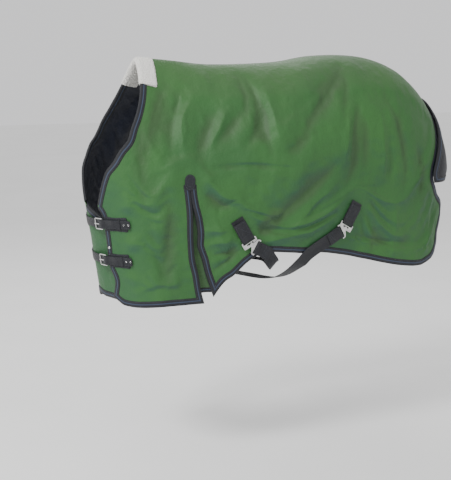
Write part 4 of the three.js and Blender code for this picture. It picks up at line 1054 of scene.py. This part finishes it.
def sewn_box(place, width, height, h, inset=4.0, crossed=True):
    """Stitch lines round the inside of a patch, with a cross in the middle."""
    x, y = width / 2 - inset, height / 2 - inset
    loop = [(-x, -y), (x, -y), (x, y), (-x, y), (-x, -y)]
    paths = list(zip(loop[:-1], loop[1:]))
    if crossed:
        paths += [((-x, -y), (x, y)), ((-x, y), (x, -y))]
    lines = []
    for (x0, y0), (x1, y1) in paths:
        t = np.linspace(0, 1, max(int(math.hypot(x1 - x0, y1 - y0) / 5), 2))
        line = place(lerp(x0, x1, t), lerp(y0, y1, t), h)
        under = place(lerp(x0, x1, t), lerp(y0, y1, t), h - 1.0)
        lines.append((line, line - under))
    return lines


def gusset_tab(side, word):
    """The rounded reinforcement over the top of the shoulder slit."""
    turn = math.radians(-6)

    def place(x, y, h):
        p = slit_front(TAB_TOP - TAB_HEIGHT) + x * math.cos(turn) - y * math.sin(turn)
        z = TAB_TOP - TAB_HEIGHT / 2 + x * math.sin(turn) + y * math.cos(turn)
        return cloth_at(side, p, z, h)
    outline = rounded_outline(TAB_WIDTH, TAB_HEIGHT, TAB_WIDTH / 2 - 1)
    lift = TAPE_PROUD + 0.8
    patch_on(f"{word}_gusset_tab_patch", place, outline, lift - 1.2, 2.8, PATCH,
             replaces=[f"{word}_gusset_tab"])
    lines = []
    for share in (0.84, 0.5):
        ring = np.concatenate([outline, outline[:1]]) * share
        line = place(ring[:, 0], ring[:, 1], lift + 1.7)
        lines.append((line, line - place(ring[:, 0], ring[:, 1], lift)))
    stitches(f"{word}_gusset_tab_stitches", lines)


# ------------------------------------------------------------------ straps
def strap_outline(width, thickness):
    """Cross-section of webbing as (across, up), with soft edges and a slight crown."""
    w, t = width / 2, thickness
    crown = np.linspace(-1, 1, 9)
    over = [(w * 0.97 * c, t + 0.12 * (1 - c * c)) for c in crown]
    under = [(w * 0.97 * c, -0.12 * (1 - c * c)) for c in crown[::-1]]
    return over + [(w, t * 0.8), (w, t * 0.2)] + under + [(-w, t * 0.2), (-w, t * 0.8)]


def strap_along(name, points, across, up, width, thickness, body="rug", replaces=()):
    outline = np.array(strap_outline(width, thickness))
    sections = (points[:, None] + across[:, None] * outline[None, :, :1]
                + up[:, None] * outline[None, :, 1:])
    made = loft(name, sections, uv_across=outline[:, 0], smooth=60)
    return piece(made, STRAP, body, replaces)


def strap_on_path(name, path, width, thickness, place, replaces):
    """A strap whose inner face follows a path (s, h, outward angle); place(s, b, h) seats it."""
    outline = np.array(strap_outline(width, thickness))
    path = np.array(path, float)
    sections = np.stack([
        place(path[:, 0] + t * np.cos(path[:, 2]), np.full(len(path), b),
              path[:, 1] + t * np.sin(path[:, 2]))
        for b, t in outline], axis=1)
    made = loft(name, sections, uv_across=outline[:, 0], smooth=60)
    return piece(made, STRAP, replaces=replaces)


def round_the_bar(length, back, inner, thickness, rise):
    path = [(s, -inner, -QUARTER) for s in np.linspace(length, 0, 14)]
    for k in range(1, 12):
        angle = -QUARTER - k * math.pi / 12
        path.append((inner * math.cos(angle), inner * math.sin(angle), angle))
    path += [(0, inner, QUARTER), (3, inner - 0.5, QUARTER - 0.35)]
    settle = inner + thickness + 8
    path += [(s, -inner + rise, QUARTER) for s in np.linspace(settle, back, 9)]
    return path


BAR_INNER, CHAPE_THICK, CHAPE_LENGTH = 3.4, 1.4, 45
BAR_H = PATCH_H + PATCH_THICK + PLY_GAP + CHAPE_THICK + BAR_INNER
BILLET_TIP, BILLET_START = 118, -245
BILLET_ON_PATCH = PATCH_H + PATCH_THICK + 1.5
KEEPER_PLACE, KEEPER_LENGTH = 72, 12
EYELETS = (KEEPER_PLACE + 2 + 17.6, KEEPER_PLACE + 2 + 35.2)
billet_height = curve_through([
    (BILLET_START, 2.8), (-100, 2.8), (-60, 3.4),
    (-BUCKLE_REACH, BAR_H - METAL / 2 - BILLET_THICK - 0.8), (-30, BAR_H - 4),
    (-3, BAR_H + BAR_INNER + CHAPE_THICK + 0.5), (4, BAR_H + BAR_INNER + CHAPE_THICK + 0.5),
    (17, BAR_H - 0.4), (CHAPE_LENGTH, BAR_H - 0.8), (60, BILLET_ON_PATCH),
    (BILLET_TIP, BILLET_ON_PATCH)])


def eyelet(name, centre, normal, radius):
    """A small plated ring set in the strap."""
    ring, tube, steps = 20, 0.7, 8
    normal = unit(normal)
    side = unit(np.cross(normal, [0.0, 0.0, 1.0]))
    up = np.cross(side, normal)
    points = []
    for k in range(ring):
        turn = 2 * math.pi * k / ring
        spoke = side * math.cos(turn) + up * math.sin(turn)
        for j in range(steps):
            angle = 2 * math.pi * j / steps
            points.append(centre + spoke * (radius + tube * math.cos(angle))
                          + normal * tube * math.sin(angle))
    index = np.arange(ring * steps).reshape(ring, steps)
    index = np.concatenate([index, index[:1]])
    index = np.concatenate([index, index[:, :1]], axis=1)
    return piece(new_mesh(name, points, grid_faces(index)), NICKEL)


def chest_closure(word, height):
    bar_p = float(near_closure(height)) - 1

    def wrap(a, b, h):
        a, b, h = np.broadcast_arrays(a, b, h)
        return cloth_at(NEAR, bar_p + a, height + b, h)

    for name, start, h in ((f"{word}_buckle_patch", 4, PATCH_H - 1.4),
                           (f"{word}_strap_patch", -150 - PATCH_LENGTH, -0.4)):
        middle = start + PATCH_LENGTH / 2
        place = lambda x, y, lift, middle=middle: wrap(middle + x, y, lift)
        thick = PATCH_THICK + PATCH_H - h if start > 0 else PATCH_THICK + 1.0
        patch_on(f"{name}_cloth", place, rounded_outline(PATCH_LENGTH, PATCH_WIDTH, 5), h,
                 thick, PATCH, replaces=[name])
        stitches(f"{name}_stitches", sewn_box(place, PATCH_LENGTH, PATCH_WIDTH, h + thick + 0.1,
                                              crossed=False))

    loop = round_the_bar(CHAPE_LENGTH, CHAPE_LENGTH, BAR_INNER, CHAPE_THICK, 0.4)
    strap_on_path(f"{word}_chape_webbing", loop, BILLET, CHAPE_THICK,
                  lambda s, b, h: wrap(s, b, BAR_H + h), [f"{word}_buckle_chape"])

    stops = np.concatenate([np.arange(BILLET_START, -60, 8), np.arange(-60, 64, 2.5),
                            np.arange(64, BILLET_TIP + 1, 4)])
    outline = np.array(strap_outline(BILLET, BILLET_THICK))
    point = np.clip((stops - BILLET_TIP + 14) / 14, 0, 1)
    taper = np.sqrt(np.maximum(1 - (0.85 * point) ** 2.6, 0.05))
    sections = np.stack([wrap(stops, b * taper, billet_height(stops) + t) for b, t in outline], axis=1)
    strap = loft(f"{word}_chest_webbing", sections, uv_across=outline[:, 0], smooth=60)
    piece(strap, STRAP, replaces=[f"{word}_chest_strap"])
    lines = []
    for b in (-BILLET / 2 + 3.5, BILLET / 2 - 3.5):
        a = np.linspace(50, BILLET_TIP - 8, 20)
        top = wrap(a, b, billet_height(a) + BILLET_THICK + 0.15)
        lines.append((top, top - wrap(a, b, billet_height(a))))
    stitches(f"{word}_chest_stitches", lines)
    for k, a in enumerate(EYELETS):
        top = float(billet_height(a)) + BILLET_THICK
        centre, below = wrap(a, 0.0, top), wrap(a, 0.0, top - 1)
        eyelet(f"{word}_eyelet_{k + 1}", centre, centre - below, 2.6)
    keeper(word, wrap)


def keeper(word, wrap):
    """A flat loop of narrow webbing that rides along the strap."""
    low = PATCH_H + PATCH_THICK + PLY_GAP
    high = BILLET_ON_PATCH + BILLET_THICK + 0.5 + 0.8
    half = BILLET / 2 + 1.1
    ring = []
    for y, h, way in ((1, high, 0), (-1, high, 1), (-1, low, 2), (1, low, 3)):
        for k in range(5):
            angle = (way + k / 4) * QUARTER
            ring.append(((half - 0.6) * y + 0.6 * math.cos(angle), h + 0.5 * math.sin(angle)))
    ring = np.array(ring)
    middle = ring.mean(axis=0)
    inner = middle + (ring - middle) * [1 - 0.9 / half, 1 - 1.1 / (high - low)]
    points, count = [], len(ring)
    for a in (KEEPER_PLACE - KEEPER_LENGTH / 2, KEEPER_PLACE + KEEPER_LENGTH / 2):
        for loop in (ring, inner):
            points.append(wrap(a, loop[:, 0], loop[:, 1]))
    index = np.arange(4 * count).reshape(4, count)[[0, 2, 3, 1, 0]]
    faces = grid_faces(np.concatenate([index, index[:, :1]], axis=1))
    uv = np.zeros((4 * count, 2))
    uv[:, 0] = np.tile(np.linspace(0, 0.08, count), 4)
    uv[:, 1] = np.repeat([-0.006, -0.006, 0.006, 0.006], count)
    made = new_mesh(f"{word}_keeper_loop", np.concatenate(points), faces, uv)
    make_outward(made)
    piece(made, STRAP, f"{word}_keeper", [f"{word}_strap_keeper"])


def make_outward(obj):
    import bmesh
    work = bmesh.new()
    work.from_mesh(obj.data)
    bmesh.ops.recalc_face_normals(work, faces=work.faces)
    work.to_mesh(obj.data)
    work.free()


# ------------------------------------------------------------------ surcingles
LOOP_INNER = 2.9
PLATE_H = 2 + WEBBING_THICK + LOOP_INNER
NECK, HOOK_REACH, HOOK_H = 18, 27, PLATE_H + METAL + 0.9
SHORT, RETURN, LEVEL = 90, 58, 34
SURCINGLES = {
    "front": {
        "bar": (640, -646), "down": (0.5, -0.866), "away": (0.88, -0.475),
        "hem": [(728, -716, 6), (752, -746, -2)],
        "belly": [(352, -150, -752), (346, 0, -760), (384, 150, -754)],
        "off_hem": [(868, -752, -2), (892, -722, 8)],
        "sewn": [(930, -690, 7.5), (1020, -612, 5.6), (1112, -532, 5.2)],
    },
    "rear": {
        "bar": (1064, -610), "down": (-0.47, -0.883), "away": (-0.86, -0.51),
        "hem": [(895, -716, 8), (868, -752, -2)],
        "belly": [(398, -150, -822), (348, 0, -832), (318, 150, -824)],
        "off_hem": [(752, -762, -2), (722, -728, 8)],
        "sewn": [(696, -696, 7.5), (627, -590, 5.6), (561, -488, 5.2)],
    },
}


def stand(side, p, z, h, spin):
    """Seat on the plain form: rows are its X along the body, Y up and Z outward."""
    p, q = np.array(float(p)), root_at(np.array(float(p)), z)
    normal = outward(side, p, q)
    up = unit(np.array([0, 0, 1.0]) - normal * normal[2])
    along = np.cross(up, normal)
    x = along * math.cos(spin) + up * math.sin(spin)
    y = up * math.cos(spin) - along * math.sin(spin)
    return skin(side, p, q) + normal * h, np.stack([x, y, normal])


def centripetal(points, count):
    """Evenly spread parameters along a centripetal Catmull-Rom curve through the points."""
    points = np.array(points, float)
    before, after = 2 * points[0] - points[1], 2 * points[-1] - points[-2]
    padded_ = np.concatenate([[before], points, [after]])
    made = []
    for t in np.linspace(0, len(points) - 1, count):
        k = min(int(t), len(points) - 2)
        p0, p1, p2, p3 = padded_[k:k + 4]
        gaps = [max(np.linalg.norm(b - a) ** 0.5, 1e-4) for a, b in ((p0, p1), (p1, p2), (p2, p3))]
        m1 = (p1 - p0) / gaps[0] - (p2 - p0) / (gaps[0] + gaps[1]) + (p2 - p1) / gaps[1]
        m2 = (p2 - p1) / gaps[1] - (p3 - p1) / (gaps[1] + gaps[2]) + (p3 - p2) / gaps[2]
        m1, m2, w = m1 * gaps[1], m2 * gaps[1], t - k
        made.append((2 * w ** 3 - 3 * w ** 2 + 1) * p1 + (w ** 3 - 2 * w ** 2 + w) * m1
                    + (3 * w ** 2 - 2 * w ** 3) * p2 + (w ** 3 - w ** 2) * m2)
    return np.array(made)


def surcingle(word):
    way = SURCINGLES[word]
    spin_down = math.atan2(way["down"][1], way["down"][0])
    spin_away = math.atan2(way["away"][1], way["away"][0])
    seat, axes = stand(NEAR, *way["bar"], PLATE_H, spin_down)

    def on_plate(s, b, h):
        local = np.stack(np.broadcast_arrays(-s, b, h), axis=-1)
        return seat + local @ axes

    short = round_the_bar(SHORT, SHORT - 14, LOOP_INNER, WEBBING_THICK, 2.8)
    strap_on_path(f"near_{word}_short_webbing", short, WEBBING, WEBBING_THICK, on_plate,
                  [f"near_{word}_short_strap"])
    top = -LOOP_INNER + 2.8 + WEBBING_THICK + 0.2

    lines = sewn_box(lambda x, y, h: on_plate(46 + x, y, top + (h - 1)), 62, WEBBING, 1.0, 5.0)
    stitches(f"near_{word}_short_stitches", lines)

    hook_seat = seat + np.array([NECK, 0, HOOK_H - PLATE_H]) @ axes
    turn = spin_away - spin_down
    hook_axes = np.stack([axes[0] * math.cos(turn) + axes[1] * math.sin(turn),
                          axes[1] * math.cos(turn) - axes[0] * math.sin(turn), axes[2]])

    def on_hook(s, b, h):
        local = np.stack(np.broadcast_arrays(HOOK_REACH + s, b, h), axis=-1)
        return hook_seat + local @ hook_axes

    outline = np.array(strap_outline(WEBBING, WEBBING_THICK))
    fold = np.array(round_the_bar(LEVEL, RETURN, LOOP_INNER, WEBBING_THICK, 0.4)[::-1])
    folded = np.stack([on_hook(fold[:, 0] + t * np.cos(fold[:, 2]), np.full(len(fold), b),
                               fold[:, 1] + t * np.sin(fold[:, 2])) for b, t in outline], axis=1)

    def outside(place, side):
        p, z, h = place
        p = np.array(float(p))
        root = root_at(p, z)
        normal = outward(side, p, root)
        return skin(side, p, root) + normal * h, -normal
    start = on_hook(LEVEL, 0, -LOOP_INNER)
    knots = [(start, -hook_axes[2]), (start + 14 * hook_axes[0], -hook_axes[2])]
    knots += [outside(place, NEAR) for place in way["hem"]]
    knots += [(np.array([x, y, z], float), unit(np.array([0, 0.2 if y < 0 else -0.2, 1.0])))
              for x, y, z in way["belly"]]
    knots += [outside(place, OFF) for place in way["off_hem"]]
    first, last, end = (outside(place, OFF) for place in way["sewn"])
    knots += [(lerp(first[0], last[0], k / 3), last[1]) for k in range(4)] + [end]
    count = 14 * (len(knots) - 1)
    points = centripetal([knot[0] for knot in knots], count)
    normals = centripetal([knot[1] for knot in knots], count)
    along = unit(np.gradient(points, axis=0))
    across = unit(np.cross(along, normals))
    up = unit(np.cross(across, along))
    rest = (points[:, None] + across[:, None] * outline[None, :, :1]
            + up[:, None] * outline[None, :, 1:])
    made = loft(f"{word}_surcingle_webbing", np.concatenate([folded, rest[3:]]),
                uv_across=outline[:, 0], smooth=60)
    piece(made, STRAP, replaces=[f"{word}_surcingle"])
    box = sewn_box(lambda x, y, h: on_hook(40 + x, y, h), 26, WEBBING,
                   -LOOP_INNER + 0.4 + WEBBING_THICK + 0.2, 5.0)
    stitches(f"{word}_fold_stitches", box)

    (p0, z0, _), (p1, z1, _) = way["sewn"][1:]
    length = math.hypot(p1 - p0, z1 - z0)
    run = ((p1 - p0) / length, (z1 - z0) / length)

    def on_patch(x, y, h):
        reach = length / 2 + 5 + x
        return cloth_at(OFF, p0 + run[0] * reach - run[1] * y, z0 + run[1] * reach + run[0] * y, h)
    patch_on(f"{word}_surcingle_patch_cloth", on_patch, rounded_outline(length + 2, 58, 4), 0.0, 2.4,
             PATCH, replaces=[f"{word}_surcingle_patch"])
    stitches(f"{word}_surcingle_patch_stitches", sewn_box(on_patch, length - 8, WEBBING, 8.0, 5.0))


# ------------------------------------------------------------------ tail flap
FLAP_TOP, FLAP_FOOT, FLAP_LAP, FLAP_SEAM_LAP, FLAP_LIFT = -150, -478, 14, 30, 12
flap_reach = curve_through([(-500, 1196), (-478, 1208), (-440, 1226), (-400, 1220), (-350, 1203),
                            (-302, 1182), (-250, 1171), (-200, 1162), (-168, 1151), (-140, 1127)])


def flap_face(turn, z, h):
    """turn from -90 to 90 degrees round the tail, z the height."""
    turn, z = np.broadcast_arrays(np.asarray(turn, float), np.asarray(z, float))

    def bare(turn, z):
        lap = lerp(FLAP_SEAM_LAP, FLAP_LAP, ease((FLAP_TOP - z) / 60))
        p = rear_edge(z) - lap
        q = root_at(p, z)
        edge = skin(OFF, p, q) + outward(OFF, p, q) * FLAP_LIFT
        middle = np.maximum(flap_reach(z), edge[..., 0] + 4)
        angle = np.radians(turn)
        soft = 3.0 * ripple(turn * 4.0, z, 5, 150, 0.25) * np.clip(np.cos(angle), 0, 1) \
            * ease((FLAP_TOP - z) / 90)
        return np.stack([lerp(edge[..., 0], middle, np.cos(angle)) - np.maximum(soft, -3),
                         edge[..., 1] * np.sin(angle), z], axis=-1)
    here = bare(turn, z)
    across = bare(turn + 1.5, z) - bare(turn - 1.5, z)
    down = bare(turn, z - 3) - bare(turn, z + 3)
    normal = unit(np.cross(down, across))
    return here + normal * np.expand_dims(np.asarray(h, float) + 0 * turn, -1)


def tail_flap():
    columns, rows = ((110, 80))
    turn, z = np.meshgrid(np.linspace(-89, 89, columns), np.linspace(FLAP_TOP, FLAP_FOOT, rows),
                          indexing="ij")
    index = np.arange(turn.size).reshape(turn.shape)
    uv = np.stack([turn * 0.0042, z * MM], axis=-1)
    flap = new_mesh("tail_flap_cloth", flap_face(turn, z, 0.0), grid_faces(index), uv, smooth=None)
    make_outward_from(flap, (1.0, 0.0, -0.3))
    piece(flap, FLAP_CLOTH, "tail_flap", ["tail_flap"])
    solidify(flap, 2.6)
    height = np.linspace(FLAP_TOP - 4, FLAP_FOOT, 56)
    foot = np.linspace(-89, 89, 90)
    runs = [(np.full(56, -89.0), height, (1, 0)), (foot, np.full(90, float(FLAP_FOOT)), (0, 1)),
            (np.full(56, 89.0), height[::-1], (-1, 0))]
    tape = tape_along("tail_flap_tape", flap_face, runs, plies=3.0)
    piece(tape, TAPE, "tail_flap", ["tail_flap_binding"])
    places, ways = joined_runs(flap_face, runs, TAPE_WIDTH)
    lines = [seam_line(flap_face, places, ways, TAPE_WIDTH - 3.5, 1.9)]
    across = np.linspace(-80, 80, 60)
    for drop in (8, 16):
        line = flap_face(across, np.full(60, FLAP_TOP - float(drop)), 0.4)
        lines.append((line, line - flap_face(across, np.full(60, FLAP_TOP - float(drop)), -0.6)))
    stitches("tail_flap_stitches", lines, "tail_flap")
    return flap


def make_outward_from(obj, centre):
    """Turns the faces of an open sheet away from a point in metres."""
    outside = sum((face.center - Vector(centre)).dot(face.normal) for face in obj.data.polygons)
    if outside < 0:
        obj.data.flip_normals()


# ------------------------------------------------------------------ metal
def hardware():
    """The frame's metal keeps its shape and gets softened edges and its plating."""
    for name, node in metal_nodes():
        node.data.materials.clear()
        node.data.materials.append(NICKEL)
        soft = node.modifiers.new("softened_edges", "BEVEL")
        soft.width = 0.55 * MM
        soft.segments = 3
        soft.limit_method = "ANGLE"
        soft.angle_limit = math.radians(30)
        soft.harden_normals = False


def metal_nodes():
    names = [f"{word}_buckle_{part}" for word in ("upper", "lower") for part in ("frame", "tongue")]
    names += [f"near_{word}_slot_plate" for word in ("front", "rear")]
    names += [f"{word}_surcingle_{part}" for word in ("front", "rear") for part in ("hook", "slider")]
    return [(name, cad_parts[name]) for name in names]


def closure_stud():
    """A domed rivet on the closure tape between the two buckles."""
    z = -664.0
    p = float(near_closure(z)) + TAPE_WIDTH / 2
    centre = cloth_at(NEAR, p, z, TAPE_PROUD)
    normal = unit(centre - cloth_at(NEAR, p, z, TAPE_PROUD - 1))
    side = unit(np.cross(normal, [0.0, 0.0, 1.0]))
    up = np.cross(side, normal)
    profile = [(5.2, -0.6), (5.2, 0.5), (4.4, 1.5), (3.0, 2.3), (1.4, 2.7)]
    ring, points = 24, []
    for radius, h in profile:
        for k in range(ring):
            turn = 2 * math.pi * k / ring
            points.append(centre + radius * (side * math.cos(turn) + up * math.sin(turn)) + normal * h)
    index = np.arange(len(points)).reshape(len(profile), ring)
    faces = grid_faces(np.concatenate([index, index[:, :1]], axis=1))
    faces += [index[-1].tolist(), index[0][::-1].tolist()]
    stud = new_mesh("closure_stud", points, faces, smooth=60)
    make_outward(stud)
    piece(stud, NICKEL)


# ------------------------------------------------------------------ set
def studio():
    floor_z = -1.5
    bpy.ops.mesh.primitive_plane_add(size=40, location=(0.4, 0, floor_z))
    floor = bpy.context.object
    floor.name = "floor"
    floor.data.materials.append(floor_paint())
    world = bpy.data.worlds.new("studio_air")
    bpy.context.scene.world = world
    world.use_nodes = True
    world.node_tree.nodes["Background"].inputs[0].default_value = (0.99, 0.99, 1.0, 1)
    world.node_tree.nodes["Background"].inputs[1].default_value = 0.95
    for name, place, aim, size, power in (
            ("key", (-2.9, -1.5, 2.5), (0.5, 0, -0.4), 1.1, 170),
            ("back", (1.5, 3.2, 2.4), (0.4, 0, -0.3), 2.4, 60)):
        light = bpy.data.lights.new(name, "AREA")
        light.energy, light.size = power, size
        lamp = bpy.data.objects.new(name, light)
        bpy.context.scene.collection.objects.link(lamp)
        lamp.location = place
        lamp.rotation_euler = look(place, aim)


def look(place, aim):
    return (Vector(aim) - Vector(place)).to_track_quat("-Z", "Y").to_euler()


def camera():
    azimuth, pitch = math.radians(-28), math.radians(9)
    data = bpy.data.cameras.new("camera")
    data.lens, data.sensor_width, data.sensor_fit = 90, 36, "AUTO"
    data.clip_end = 100
    made = bpy.data.objects.new("camera", data)
    bpy.context.scene.collection.objects.link(made)
    made.location = (-1.9171, -4.0755, 0.0442)
    made.rotation_euler = (QUARTER - pitch, 0, azimuth)
    bpy.context.scene.camera = made


# ------------------------------------------------------------------ the whole rug
made = sides()
bindings()
wither_fleece()
spine_seam()
gussets()
chest_closure("upper", -575)
chest_closure("lower", -710)
surcingle("front")
surcingle("rear")
flap = tail_flap()
hardware()
closure_stud()
studio()
camera()

for side, word in SIDES:
    outer, lining = made[side]
